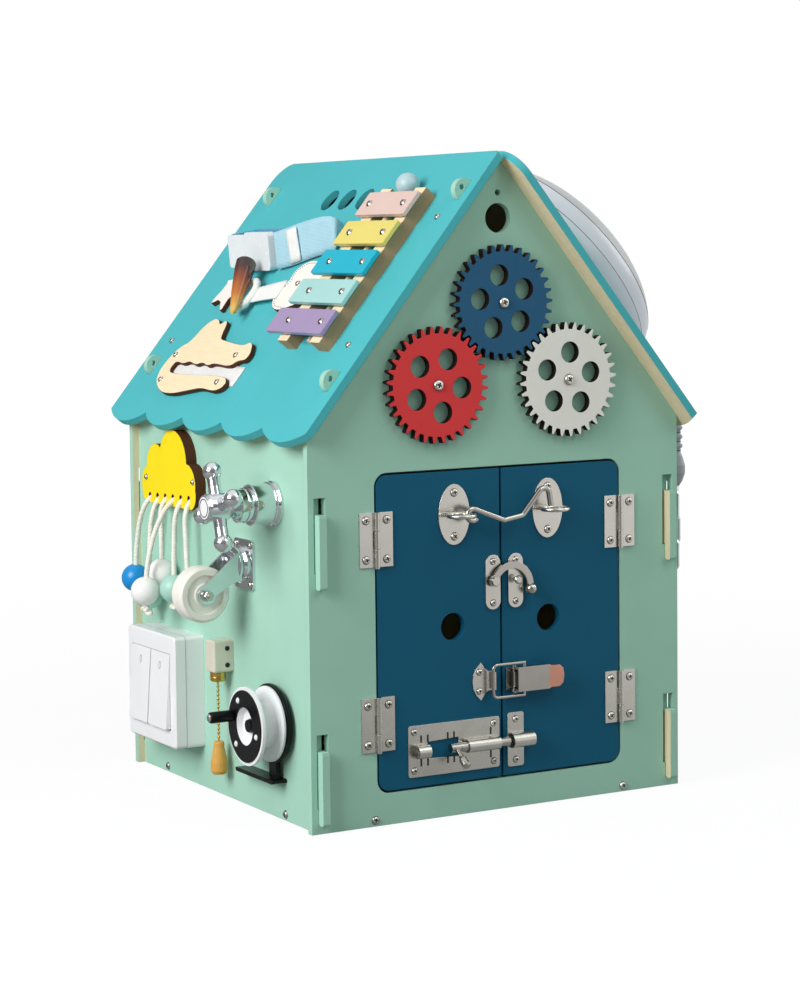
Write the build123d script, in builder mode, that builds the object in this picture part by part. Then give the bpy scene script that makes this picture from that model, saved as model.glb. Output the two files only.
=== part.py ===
"""Wooden busy house: a small plywood house whose walls and roof carry everyday fittings to play with.

The house stands on its base at Z = 0, with its origin at the centre of the base. The front, with the
two doors and the three gears, faces -Y, and +X is to the right of someone looking at the front.
Flat work on a wall or a roof slope is drawn in that face's own plane: u runs along it, v up it.
"""

import math
import os

from build123d import *

os.makedirs("parts", exist_ok=True)

# House: plywood boards
ply = 6.0
house_width = 316.0
house_depth = 304.0
eave_height = 282.0
apex_height = 476.0
side_inset = 5.5
side_rise = 4.0
side_height = eave_height + side_rise
floor_thickness = 9.0
fit_gap = 0.25
gable_rise = apex_height - eave_height
rake = math.hypot(house_width / 2, gable_rise)
gable_circle = house_width * gable_rise / (house_width + 2 * rake)

# Hook tabs of the side boards and their slots
hook_height = 52.4
hook_drop = 11.8
hook_reach = 6.5
hook_lows = (6.3, 173.4)
slot_width = 8.9
slot_play = 0.8

# Roof
eave_drip = 1.8
roof_length = rake + eave_drip
scallop_count = 5
scallop_depth = 10.0
left_overhang = 10.0
right_overhang = 18.0
rear_overhang = 22.0
roof_corner = 20.0
tab_width = 17.0
tab_hole = 4.0
tab_places = (0.144 * rake, 0.831 * rake)
peg_hole = 20.0
peg_hole_pitch = 28.0
peg_hole_count = 4
peg_hole_u = 41.0
peg_hole_first_v = -46.0

# Doors
opening_width = 210.0
opening_low = 22.8
opening_height = 229.7
opening_corner = 10.0
door_gap = 1.6
leaf_gap = 1.8
finger_hole = 20.0
finger_hole_x = 41.0
finger_hole_z = 138.0
gable_hole = 21.5
gable_hole_z = apex_height - 44.3
nail_hole = 4.5
nail_hole_z = apex_height - 26.0

# Butt hinges
hinge_leaf = 13.5
hinge_height = 39.0
hinge_sheet = 1.2
hinge_knuckle = 2.2
hinge_pin = 1.0
pin_clearance = 0.05
hinge_centres = (205.5, 73.2)
knuckle_gap = 0.3

# Screw heads
screw_head = 2.7
screw_rise = 1.1

# Cabin hook
eye_x = 40.0
eye_z = 219.5
eye_plate_width = 26.0
eye_plate_height = 44.0
eye_sheet = 1.5
eye_radius = 9.5
eye_wire = 1.6
eye_rise = 11.4
hook_wire = 2.1
hook_loop = 4.3
hook_tip = 8.0
hook_sag = 9.5
hook_arch = 6.0
hook_inset = 4.0
hook_lift = 9.0

# Swing latch
latch_plate_width = 12.6
latch_plate_height = 40.0
latch_sheet = 1.6
latch_z = 168.0
latch_left_x = -7.6
latch_right_x = 11.8
arm_thickness = 2.5
arm_width = 5.0
arm_rise = 1.4
pivot_radius = 2.0
post_radius = 2.0
post_head = 3.2

# Toggle latch
toggle_z = 96.0
toggle_sheet = 1.4
toggle_lip = 5.4
bail_wire = 1.2
bail_standoff = 7.2
bail_height = 24.0
bail_left = -11.5
lever_pivot_x = 8.0
bail_pivot_x = 15.0
lever_width = 18.0
lever_end = 48.0
lever_tip = 8.0
lever_sheet = 1.4

# Barrel bolt
bolt_z = 50.6
bolt_margin = 25.0
bolt_left = bolt_margin - opening_width / 2
bolt_right = -3.0
bolt_plate_height = 37.5
bolt_sheet = 1.2
rod_radius = 3.4
rod_clearance = 0.25
keeper_clearance = 0.9
rod_tip = 3.4
keeper_left = 4.0
keeper_right = 18.0
keeper_bridge_end = 23.4
keeper_height = 40.0
knob_run = 38.0
knob_x = bolt_left + knob_run
knob_radius = 3.2
knob_reach = 19.0
knob_angle = 37.0

# Gears
gear_module = 0.0333 * gable_circle
gear_teeth = 32
gear_thickness = 6.0
gear_standoff = 1.0
gear_slack = 0.36 * gear_module
gear_tip_gap = 0.24 * gear_module
gear_bore = 3.05
gear_axle = 3.0
gear_axle_head = 3.6
gear_window = 6.2 * gear_module
gear_window_circle = 8.0 * gear_module
gear_window_count = 5
blue_gear_z = eave_height + 1.184 * gable_circle
side_gear_z = eave_height + 0.418 * gable_circle

# Cloud board with its cords and beads
cloud_drop = 68.0
cloud_low = eave_height - cloud_drop
cloud_thickness = 9.0
cord_radius = 2.0
cord_hole = 2.4
cord_exit_bend = 4.5
cord_bend = 16.0
cord_hole_rise = 5.5
cord_hole_z = cloud_low + cord_hole_rise
cord_hole_climb = 0.55
cord_hole_first_u = -106.5
cord_hole_pitch = 14.2
bead_radius = 11.0
bead_bore = 2.3
knot_radius = 3.8

# Tap
tap_u = 89.0
tap_drop = 53.0
tap_z = eave_height - tap_drop
tap_rim = 16.5
tap_sleeve = 15.0
tap_sleeve_length = 20.0
tap_bonnet = 12.0
tap_bonnet_length = 10.0
spindle_radius = 4.0
handle_hub = 10.0
handle_low = 35.0
handle_high = 54.0
handle_reach = 33.0
handle_arm = 4.6
handle_ball = 6.8
handle_tilt = 18.0
cap_radius = 8.6
cap_rise = 1.4

# Caster
caster_u = 42.5
caster_z = 180.5
caster_plate_width = 31.0
caster_plate_height = 37.0
caster_sheet = 2.2
race_radius = 14.0
race_rise = 6.0
fork_gap = 0.4
fork_sheet = 1.8
wheel_radius = 20.5
wheel_width = 16.0
wheel_standoff = 37.0
wheel_trail = 19.5
wheel_side_gap = 0.7
caster_axle = 2.5
caster_axle_head = 4.6

# Wall switch
switch_u = -75.0
switch_low = 31.5
switch_size = 86.0
switch_depth = 25.0
rocker_width = 33.5
rocker_height = 58.0
rocker_thickness = 6.0
rocker_pocket = 9.5
rocker_gap = 0.5
rocker_tilt = 4.0
rocker_z = 74.5

# Pull-chain switch
pull_u = 12.5
pull_low = 97.0
pull_width = 15.0
pull_depth = 16.5
pull_height = 24.0
chain_standoff = 10.0
collar_radius = 5.8
collar_length = 7.0
chain_ball = 1.2
chain_wire = 0.5
chain_pitch = 3.2
chain_length = 53.0
chain_bore = 1.9
pull_knob_length = 24.5
pull_knob_radius = 6.4

# Reel
reel_u = 91.0
reel_z = 70.0
reel_back_radius = 29.0
reel_back_rise = 7.0
reel_back_low = 3.0
spool_radius = 28.4
spool_hub = 17.0
spool_low = 7.5
spool_high = 26.5
reel_axle = 3.0
cover_inner = 13.5
cover_outer = 26.0
cover_sheet = 0.9
crank_circle = 19.5
crank_radius = 4.2
crank_length = 18.0
crank_pin = 2.0
crank_angle = 165.0
foot_length = 60.0
foot_u = 74.0
foot_low = 28.0
foot_sheet = 3.0
foot_width = 12.0

# Xylophone on the left slope
rail_width = 15.0
rail_height = 10.5
rail_length = 142.0
rail_first_u = 41.0
rail_near_v = 109.0
rail_far_v = 59.0
bush_height = 2.0
bush_radius = 4.0
bar_count = 5
bar_width = 21.5
bar_pitch = 27.2
bar_first_u = 59.0
bar_thickness = 3.0
bar_right_v = 120.0
bar_shortest = 72.0
bar_growth = 3.5
bar_pin_head = 3.0
mallet_v = 84.0
mallet_ball = 9.0
mallet_ball_u = 37.0
mallet_stick = 2.4
mallet_rise = 9.4
mallet_end_u = 178.0

# Strap and buckle on the left slope
strap_width = 28.0
strap_sheet = 1.5
strap_lean = 44.0
strap_low_u = 113.0
strap_swing = 17.0
strap_length = 66.0
strap_return = 130.0
buckle_front_v = -50.0
buckle_length = 72.0
buckle_thickness = 6.0
buckle_height = 30.0

# Horn toggle on the left slope
toggle_board = 4.0
horn_length = 53.0
horn_big = 8.0
horn_small = 2.2
horn_u = 117.0
horn_v = -70.0
horn_rise = 17.8
horn_tip_rise = 12.6
horn_angle = 28.6
loop_length = 34.0
loop_width = 22.0
loop_wall = 4.4

# Slotted board on the left slope
zip_board = 3.5
zip_tape = 1.0

# Push lamp on the right slope
lamp_u = 146.0
lamp_v = -18.0
lamp_radius = 103.0
lamp_base_rise = 8.0
lamp_band_rise = 38.0
lamp_rise = 81.0
lamp_gap = 3.4
lamp_wall = 3.0

# Chain pull on the right wall
grip_v_top = eave_height - 1.0
grip_u = -122.0
grip_standoff = 25.0
grip_radius = 8.2
grip_neck = 4.8
grip_length = 56.0
link_wire = 1.4
link_length = 25.0
link_width = 11.0
link_count = 3

# Placing planes
side_x = house_width / 2 - side_inset
slope = math.atan2(apex_height - eave_height, house_width / 2)
run = math.cos(slope)
fall = math.sin(slope)
half_depth = house_depth / 2
front_face = Plane(origin=(0, -half_depth, 0), x_dir=(1, 0, 0), z_dir=(0, -1, 0))
back_face = Plane(origin=(0, half_depth, 0), x_dir=(-1, 0, 0), z_dir=(0, 1, 0))
left_face = Plane(origin=(-side_x, 0, 0), x_dir=(0, -1, 0), z_dir=(-1, 0, 0))
right_face = Plane(origin=(side_x, 0, 0), x_dir=(0, 1, 0), z_dir=(1, 0, 0))
left_slope = Plane(
    origin=(-ply * fall, 0, apex_height + ply * run), x_dir=(-run, 0, -fall), z_dir=(-fall, 0, run)
)
right_slope = Plane(
    origin=(ply * fall, 0, apex_height + ply * run), x_dir=(run, 0, -fall), z_dir=(fall, 0, run)
)

pieces = {}


def keep(name, *parts):
    """Stores the solids of one named piece."""
    solids = [solid for part in parts for solid in part.solids()]
    pieces[name] = Part(children=solids) if len(solids) > 1 else Part(solids[0].wrapped)


def upright(face, u, v):
    """A plane that stands on a face at (u, v): its X is the face's X and its Y leaves the face."""
    return Plane(origin=face.from_local_coords((u, v, 0)), x_dir=face.x_dir, z_dir=-face.y_dir)


def turned(face, u, v, profile):
    """A turned piece that stands on a face; the profile is (radius, height) points."""
    base = upright(face, u, v)
    with BuildPart() as piece:
        with BuildSketch(base):
            with BuildLine():
                Polyline(*profile, close=True)
            make_face()
        revolve(axis=Axis(base.origin, face.z_dir))
    return piece.part


def screw_heads(face, places, standoff=0.0, radius=screw_head):
    """Low domed screw heads on a face, one for each (u, v) place."""
    profile = [(0, 0), (radius, 0), (radius, 0.35 * screw_rise), (0.6 * radius, screw_rise), (0, screw_rise)]
    return [turned(face.offset(standoff), u, v, profile) for u, v in places]


def plate(face, standoff, thickness, width, height, u, v, corner):
    """A flat plate with rounded corners on a face."""
    with BuildPart() as piece:
        with BuildSketch(face.offset(standoff)):
            with Locations((u, v)):
                RectangleRounded(width, height, corner)
        extrude(amount=thickness)
    return piece.part


# Gable boards
def gable_outline():
    """The gable's outline with the four half-round tabs that hold the roof, in the open sketch."""
    half = house_width / 2
    corners = [(-half, 0), (half, 0), (half, eave_height), (0, apex_height), (-half, eave_height)]
    Polygon(*corners, align=None)
    for side in (-1, 1):
        for place in tab_places:
            foot = Vector(side * run * place, apex_height - fall * place)
            outward = Vector(side * fall, run)
            with Locations(foot + outward * (ply / 2)):
                Rectangle(tab_width, ply, rotation=-side * math.degrees(slope))
            with Locations(foot + outward * ply):
                Circle(tab_width / 2)
            with Locations(foot + outward * (ply + 0.4 * tab_width / 2)):
                Circle(tab_hole / 2, mode=Mode.SUBTRACT)
    for side in (-1, 1):
        for low in hook_lows:
            slot_low = low + hook_drop - fit_gap
            slot_high = low + hook_height + hook_drop
            slot_x = side * (side_x + slot_play - slot_width / 2)
            with Locations((slot_x, (slot_low + slot_high) / 2)):
                Rectangle(slot_width, slot_high - slot_low, mode=Mode.SUBTRACT)


with BuildPart() as front_board:
    with BuildSketch(front_face.offset(-ply)):
        gable_outline()
        with Locations((0, opening_low + opening_height / 2)):
            RectangleRounded(opening_width, opening_height, opening_corner, mode=Mode.SUBTRACT)
        with Locations((0, gable_hole_z)):
            Circle(gable_hole / 2, mode=Mode.SUBTRACT)
        with Locations((0, nail_hole_z)):
            Circle(nail_hole / 2, mode=Mode.SUBTRACT)
    extrude(amount=ply)
keep("front_panel", front_board.part)

with BuildPart() as back_board:
    with BuildSketch(back_face.offset(-ply)):
        gable_outline()
    extrude(amount=ply)
keep("back_panel", back_board.part)


# Side boards with hook tabs
def side_board(face):
    """A side wall whose four hook tabs reach through the gable boards and drop behind their faces."""
    board_half = half_depth - ply
    hook_mid = half_depth + fit_gap + hook_reach / 2
    with BuildPart() as board:
        with BuildSketch(face.offset(-ply)):
            with Locations((0, side_height / 2)):
                Rectangle(2 * board_half, side_height)
            for end in (-1, 1):
                for low in hook_lows:
                    neck_height = hook_height - hook_drop
                    with Locations((end * (half_depth + fit_gap), low + hook_drop + neck_height / 2)):
                        Rectangle(2 * (ply + fit_gap), neck_height)
                    with Locations((end * hook_mid, low + hook_height / 2)):
                        RectangleRounded(hook_reach, hook_height, 2.0)
        extrude(amount=ply)
    return board.part


keep("left_panel", side_board(left_face))
keep("right_panel", side_board(right_face))

with BuildPart() as floor_board:
    with BuildSketch(Plane.XY):
        Rectangle(2 * (side_x - ply), 2 * (half_depth - ply))
    extrude(amount=floor_thickness)
keep("floor_panel", floor_board.part)


# Roof slopes with scalloped eaves
def roof_board(face, low_v, high_v, corners):
    """A roof slope from v = low_v to high_v with scallops along its lower edge."""
    step = (high_v - low_v) / scallop_count
    cusps = [(roof_length, low_v + step * k) for k in range(scallop_count + 1)]
    with BuildPart() as board:
        with BuildSketch(face.offset(-ply)) as outline:
            with BuildLine():
                Polyline(cusps[-1], (0, high_v), (0, low_v), cusps[0])
                for start, end in zip(cusps, cusps[1:]):
                    middle = (roof_length + scallop_depth, (start[1] + end[1]) / 2)
                    ThreePointArc(start, middle, end)
            make_face()
            for corner, radius in zip(((0, low_v), (0, high_v)), corners):
                nearest = outline.vertices().sort_by_distance((corner[0], corner[1], 0))[0]
                fillet(nearest, radius)
            for place in tab_places:
                for end in (-1, 1):
                    with Locations((place, end * (half_depth - ply / 2))):
                        Rectangle(tab_width + 2 * fit_gap, ply + 2 * fit_gap, mode=Mode.SUBTRACT)
            if face is left_slope:
                for k in range(peg_hole_count):
                    with Locations((peg_hole_u, peg_hole_first_v + k * peg_hole_pitch)):
                        Circle(peg_hole / 2, mode=Mode.SUBTRACT)
        extrude(amount=ply)
    return board.part


rear_edge = half_depth + rear_overhang
keep("left_roof", roof_board(left_slope, -rear_edge, half_depth + left_overhang, (roof_corner, 3.0)))
keep("right_roof", roof_board(right_slope, -half_depth - right_overhang, rear_edge, (roof_corner, roof_corner)))

# Doors
door_width = opening_width / 2 - door_gap - leaf_gap / 2
door_height = opening_height - 2 * door_gap
door_mid_x = leaf_gap / 2 + door_width / 2
door_mid_z = opening_low + opening_height / 2


def door_leaf(side):
    """One door leaf, rounded at its two outer corners, with a finger hole."""
    with BuildPart() as leaf:
        with BuildSketch(front_face.offset(-ply)) as outline:
            with Locations((side * door_mid_x, door_mid_z)):
                Rectangle(door_width, door_height)
            outer = outline.vertices().sort_by(Axis.X)
            fillet(outer[:2] if side < 0 else outer[2:], opening_corner - door_gap)
            with Locations((side * finger_hole_x, finger_hole_z)):
                Circle(finger_hole / 2, mode=Mode.SUBTRACT)
        extrude(amount=ply)
    return leaf.part


keep("left_door", door_leaf(-1))
keep("right_door", door_leaf(1))

# Butt hinges
hinge_x = opening_width / 2 - door_gap / 2
hinge_axis_rise = hinge_knuckle
knuckle_length = hinge_height / 3


def hinge_half(side, z, outer):
    """One hinge leaf with its share of the knuckle; the outer leaf holds both ends of the knuckle."""
    toward = side if outer else -side
    ends = ((-1, 1) if outer else (0,))
    length = knuckle_length - (0 if outer else 2 * knuckle_gap)
    with BuildPart() as half:
        with BuildSketch(front_face):
            inner_edge = hinge_knuckle + knuckle_gap
            with Locations((side * hinge_x + toward * (inner_edge + hinge_leaf) / 2, z)):
                Rectangle(hinge_leaf - inner_edge, hinge_height)
            for end in ends:
                with Locations((side * hinge_x + toward * inner_edge / 2, z + end * knuckle_length)):
                    Rectangle(inner_edge, length)
        extrude(amount=hinge_sheet)
        for end in ends:
            low = z + end * knuckle_length - length / 2
            ring = Plane(origin=(side * hinge_x, -half_depth - hinge_axis_rise, low), z_dir=(0, 0, 1))
            with BuildSketch(ring):
                Circle(hinge_knuckle)
            extrude(amount=length)
            with BuildSketch(ring):
                Circle(hinge_pin + pin_clearance)
            extrude(amount=length, mode=Mode.SUBTRACT)
    return half.part


def hinge_pin_rod(side, z):
    """The pin of one hinge, with a head above the knuckle."""
    low = z - hinge_height / 2
    with BuildPart() as rod:
        with BuildSketch(Plane(origin=(side * hinge_x, -half_depth - hinge_axis_rise, low), z_dir=(0, 0, 1))):
            Circle(hinge_pin)
        extrude(amount=hinge_height)
        with BuildSketch(Plane(origin=(side * hinge_x, -half_depth - hinge_axis_rise, low), z_dir=(0, 0, -1))):
            Circle(hinge_knuckle * 0.85)
        extrude(amount=1.0)
    return rod.part


hinge_places = [(side, z) for side in (-1, 1) for z in hinge_centres]
frame_leaves = [hinge_half(side, z, True) for side, z in hinge_places]
keep("frame_hinge_leaves", *frame_leaves, *[hinge_pin_rod(side, z) for side, z in hinge_places])


def hinge_screws(side, outer):
    """Screw places of one side's hinge leaves."""
    toward = side if outer else -side
    across = side * hinge_x + toward * 0.62 * hinge_leaf
    return [(across, z + end * 0.36 * hinge_height) for z in hinge_centres for end in (-1, 1)]


for side, name in ((-1, "left"), (1, "right")):
    leaves = [hinge_half(side, z, False) for z in hinge_centres]
    keep(f"{name}_hinge_leaves", *leaves, *screw_heads(front_face, hinge_screws(side, False), hinge_sheet))


# Cabin hook: two eye plates and a wire hook between them
def eye_plate(side):
    """An oval plate with a level eye standing out of it and two screws."""
    with BuildPart() as part:
        with BuildSketch(front_face):
            with Locations((side * eye_x, eye_z)):
                Ellipse(eye_plate_width / 2, eye_plate_height / 2)
        extrude(amount=eye_sheet)
        level = Plane(origin=(side * eye_x, -half_depth - eye_rise, eye_z), z_dir=(0, 0, 1))
        with BuildSketch(Plane(origin=level.origin + level.x_dir * eye_radius, x_dir=(1, 0, 0), z_dir=(0, -1, 0))):
            Circle(eye_wire)
        revolve(axis=Axis(level.origin, level.z_dir))
    places = [(side * eye_x, eye_z + end * 0.36 * eye_plate_height) for end in (-1, 1)]
    return [part.part, *screw_heads(front_face, places, eye_sheet)]


keep("hook_plate", *eye_plate(-1))
keep("hook_catch", *eye_plate(1))

# Cabin hook: a bent wire with an open curl round the left eye
lift = math.radians(hook_lift)
hook_frame = Plane(
    origin=front_face.from_local_coords((-eye_x + eye_radius, eye_z, eye_rise)),
    x_dir=(math.cos(lift), 0, math.sin(lift)),
    z_dir=(0, -1, 0),
)
hook_span = 2 * eye_x - eye_radius - hook_inset
curl_start = math.radians(60)
curl_point = (hook_loop * math.cos(curl_start), hook_loop * math.sin(curl_start))
sag_x = curl_point[0] + (curl_point[1] + hook_sag) / math.tan(math.radians(30))
with BuildLine(hook_frame) as hook_line:
    CenterArc((0, 0), hook_loop, 60, 250)
    FilletPolyline(
        curl_point,
        (sag_x, -hook_sag),
        (0.62 * hook_span, -hook_sag),
        (hook_span - 6.5, hook_arch),
        (hook_span, hook_arch),
        (hook_span, -hook_tip),
        radius=4.4,
    )
hook_path = hook_line.wire()
with BuildPart() as hook:
    with BuildSketch(Plane(origin=hook_path @ 0, z_dir=hook_path % 0)):
        Circle(hook_wire)
    sweep(path=hook_path)
keep("cabin_hook", hook.part)

# Swing latch: a curved arm that drops over a headed post
arm_low = latch_sheet + arm_rise
arm_high = arm_low + arm_thickness
pivot_place = (-8.0, latch_z + 1.0)
knob_place = (22.0, latch_z - 6.5)
post_place = (11.0, latch_z + 1.0)
with BuildPart() as arm_plate:
    add(plate(front_face, 0, latch_sheet, latch_plate_width, latch_plate_height, latch_left_x, latch_z, 6.2))
    rivet = [(0, 0.5), (pivot_radius, 0.5), (pivot_radius, arm_high + 0.2), (3.6, arm_high + 0.2)]
    add(turned(front_face, *pivot_place, rivet + [(3.0, arm_high + 1.6), (0, arm_high + 1.6)]))
latch_screws = [(latch_left_x, latch_z + end * 0.38 * latch_plate_height) for end in (-1, 1)]
keep("arm_plate", arm_plate.part, *screw_heads(front_face, latch_screws, latch_sheet, 2.2))

with BuildPart() as arm_keeper:
    add(plate(front_face, 0, latch_sheet, latch_plate_width, latch_plate_height, latch_right_x, latch_z, 6.2))
keeper_screws = [(latch_right_x, latch_z + end * 0.38 * latch_plate_height) for end in (-1, 1)]
head_seat = arm_high + 0.8
head_profile = [(0, head_seat), (post_head, head_seat), (0.7 * post_head, head_seat + 1.8), (0, head_seat + 1.8)]
shaft_profile = [(0, latch_sheet), (post_radius, latch_sheet), (post_radius, head_seat), (0, head_seat)]
post_parts = [turned(front_face, *post_place, profile) for profile in (shaft_profile, head_profile)]
keep("arm_keeper", arm_keeper.part, *post_parts, *screw_heads(front_face, keeper_screws, latch_sheet, 2.2))

with BuildLine() as arm_line:
    arm_arc = ThreePointArc(pivot_place, (6.0, latch_z + 12.0), knob_place)
with BuildPart() as swing_arm:
    with BuildSketch(front_face.offset(arm_low)):
        SlotArc(arm_arc, arm_width)
        with Locations(pivot_place):
            Circle(4.2)
            Circle(pivot_radius + pin_clearance, mode=Mode.SUBTRACT)
    extrude(amount=arm_thickness)
    with Locations(front_face.from_local_coords((*knob_place, 6.4))):
        Sphere(4.3)
keep("swing_arm", swing_arm.part)

# Toggle latch: a catch plate with a lip, and a lever that draws a wire bail over it
bail_half = bail_height / 2
with BuildPart() as toggle_catch:
    with BuildSketch(front_face):
        with Locations((0, toggle_z)):
            Polygon(
                (-18.5, 14), (-15, 9), (-12, 7), (-8, 7), (-8, -7), (-12, -7), (-15, -9), (-18.5, -14), (-22.5, -10),
                (-25, -5), (-25.7, 0), (-25, 5), (-22.5, 10), align=None,
            )
    extrude(amount=toggle_sheet)
    with BuildSketch(front_face):
        with Locations((-8 - toggle_sheet / 2, toggle_z)):
            Rectangle(toggle_sheet, 13)
    extrude(amount=toggle_lip)
catch_screws = [(-20.0, toggle_z - 7), (-20.0, toggle_z + 7)]
keep("toggle_catch", toggle_catch.part, *screw_heads(front_face, catch_screws, toggle_sheet, 2.2))

lever_half = lever_width / 2
lever_reach = lever_end - lever_pivot_x
cheek_inner = lever_half - lever_sheet
ear_outer = cheek_inner - 0.6
lever_pivot_rise = 5.0
lever_cover = bail_standoff + bail_wire + 0.6
edge_on = Plane(origin=(0, -half_depth, toggle_z), x_dir=(1, 0, 0), z_dir=(0, 0, 1))


def edge_point(x, standoff):
    """A point of the toggle's side view, whose plane is level with Y pointing into the house."""
    return (x, -standoff)


with BuildPart() as toggle_base:
    with BuildSketch(front_face):
        with Locations((17.0, toggle_z)):
            Rectangle(28, 2 * lever_half - 2)
    extrude(amount=toggle_sheet)
    for end in (-1, 1):
        with BuildSketch(edge_on.offset(end * ear_outer)):
            Polygon(
                edge_point(4.8, 0.4), edge_point(12.0, 0.4), edge_point(10.6, 7.0), edge_point(5.4, 7.0), align=None
            )
        extrude(amount=-end * toggle_sheet)
    with BuildSketch(edge_on.offset(-lever_half - 1.2)):
        with Locations(edge_point(lever_pivot_x, lever_pivot_rise)):
            Circle(1.5)
    extrude(amount=2 * (lever_half + 1.2))
keep("toggle_base", toggle_base.part)

with BuildPart() as toggle_lever:
    with BuildSketch(front_face.offset(lever_cover)):
        with Locations((lever_pivot_x, toggle_z)):
            Polygon(
                (0, -lever_half),
                (27, -lever_half),
                (29, -lever_tip),
                (lever_reach - 4, -lever_tip),
                (lever_reach - 1, 2.5 - lever_tip),
                (lever_reach, 0),
                (lever_reach - 1, lever_tip - 2.5),
                (lever_reach - 4, lever_tip),
                (29, lever_tip),
                (27, lever_half),
                (0, lever_half),
                align=None,
            )
    extrude(amount=lever_sheet)
    for end in (-1, 1):
        with BuildSketch(edge_on.offset(end * lever_half)):
            Polygon(
                edge_point(lever_pivot_x, 1.9),
                edge_point(22, 3.4),
                edge_point(34, lever_cover - 0.6),
                edge_point(34, lever_cover + 0.5),
                edge_point(lever_pivot_x - 1.0, lever_cover + 0.5),
                edge_point(lever_pivot_x - 3.1, lever_pivot_rise),
                align=None,
            )
            with Locations(edge_point(lever_pivot_x, lever_pivot_rise)):
                Circle(3.1)
                Circle(1.5 + pin_clearance, mode=Mode.SUBTRACT)
            with Locations(edge_point(bail_pivot_x, bail_standoff)):
                Circle(bail_wire + pin_clearance, mode=Mode.SUBTRACT)
        extrude(amount=-end * lever_sheet)
keep("toggle_lever", toggle_lever.part)

with BuildPart() as toggle_bail:
    with BuildLine(front_face.offset(bail_standoff)) as bail_line:
        FilletPolyline(
            (bail_pivot_x, toggle_z - bail_half),
            (bail_left, toggle_z - bail_half),
            (bail_left, toggle_z + bail_half),
            (bail_pivot_x, toggle_z + bail_half),
            radius=3.5,
        )
    bail_path = bail_line.wire()
    with BuildSketch(Plane(origin=bail_path @ 0, z_dir=bail_path % 0)):
        Circle(bail_wire)
    sweep(path=bail_path)
    with BuildSketch(edge_on.offset(-bail_half)):
        with Locations(edge_point(bail_pivot_x, bail_standoff)):
            Circle(bail_wire)
    extrude(amount=bail_height)
    for end in (-1, 1):
        with Locations(front_face.from_local_coords((bail_pivot_x, toggle_z + end * bail_half, bail_standoff))):
            Sphere(bail_wire)
keep("toggle_bail", toggle_bail.part)

# Barrel bolt
rod_rise = bolt_sheet + rod_radius + rod_clearance
bolt_section = Plane(origin=(0, -half_depth, bolt_z), x_dir=(0, 0, 1), z_dir=(1, 0, 0))


def tunnel(low_x, high_x, clearance):
    """A strap that bridges the rod between two places along X."""
    tunnel_inner = rod_radius + clearance
    tunnel_outer = tunnel_inner + bolt_sheet
    with BuildPart() as strap_bridge:
        with BuildSketch(bolt_section.offset(low_x)):
            with Locations((0, rod_rise)):
                Circle(tunnel_outer)
            with Locations((0, (rod_rise + bolt_sheet) / 2)):
                Rectangle(2 * tunnel_outer, rod_rise - bolt_sheet)
            with Locations((0, rod_rise)):
                Circle(tunnel_inner, mode=Mode.SUBTRACT)
            with Locations((0, rod_rise / 2)):
                Rectangle(2 * tunnel_inner, rod_rise, mode=Mode.SUBTRACT)
            Rectangle(4 * tunnel_outer, 2 * bolt_sheet, mode=Mode.SUBTRACT)
        extrude(amount=high_x - low_x)
    return strap_bridge.part


bolt_mid = (bolt_left + bolt_right) / 2
with BuildPart() as bolt_plate:
    add(plate(front_face, 0, bolt_sheet, bolt_right - bolt_left, bolt_plate_height, bolt_mid, bolt_z, 2.0))
    with BuildSketch(front_face):
        with Locations((knob_x, bolt_z)):
            Polygon((-22, -6), (4, -7), (4, 7), (-22, 6), align=None)
    extrude(amount=bolt_sheet, mode=Mode.SUBTRACT)
bolt_spans = ((bolt_left + 5, bolt_left + 15), (knob_x + 9, bolt_right - 3))
bolt_bridges = [tunnel(low, high, rod_clearance) for low, high in bolt_spans]
bolt_corners = [(x, bolt_z + end * 14) for x in (bolt_left + 5, bolt_right - 5) for end in (-1, 1)]
keep("bolt_plate", bolt_plate.part, *bolt_bridges, *screw_heads(front_face, bolt_corners, bolt_sheet, 2.2))

keeper_mid = (keeper_left + keeper_right) / 2
with BuildPart() as bolt_keeper:
    add(plate(front_face, 0, bolt_sheet, keeper_right - keeper_left, keeper_height, keeper_mid, bolt_z, 2.0))
keeper_bridge = tunnel(keeper_left + 1, keeper_bridge_end, keeper_clearance)
keeper_ends = [(keeper_mid, bolt_z + end * 15) for end in (-1, 1)]
keep("bolt_keeper", bolt_keeper.part, keeper_bridge, *screw_heads(front_face, keeper_ends, bolt_sheet, 2.2))

neck_radius = 2.4
neck_half = 3.0
with BuildPart() as bolt_rod:
    rod_left = knob_x - neck_half - 2
    with BuildSketch(bolt_section.offset(rod_left)):
        with Locations((0, rod_rise)):
            Circle(rod_radius)
    extrude(amount=rod_tip - rod_left)
    chamfer(bolt_rod.edges().group_by(Axis.X)[-1], 0.8)
    with BuildSketch(bolt_section.offset(knob_x - neck_half)):
        with Locations((0, rod_rise)):
            Circle(rod_radius + 1)
            Circle(neck_radius, mode=Mode.SUBTRACT)
    extrude(amount=2 * neck_half, mode=Mode.SUBTRACT)
keep("bolt_rod", bolt_rod.part)

knob_tilt = math.radians(knob_angle)
knob_axis = Vector(0, -math.cos(knob_tilt), -math.sin(knob_tilt))
knob_stand = Plane(origin=(knob_x, -half_depth - rod_rise, bolt_z), x_dir=(1, 0, 0), z_dir=knob_axis)
with BuildPart() as bolt_knob:
    with BuildSketch(bolt_section.offset(knob_x - neck_half + 0.2)):
        with Locations((0, rod_rise)):
            Circle(rod_radius)
            Circle(neck_radius + pin_clearance, mode=Mode.SUBTRACT)
    extrude(amount=2 * neck_half - 0.4)
    stem = [(0, 3.0), (1.9, 3.0), (1.9, 9.5), (knob_radius, 11.5), (knob_radius, knob_reach - 1.2)]
    add(turned(knob_stand, 0, 0, stem + [(knob_radius - 1.2, knob_reach), (0, knob_reach)]))
keep("bolt_knob", bolt_knob.part)

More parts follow.
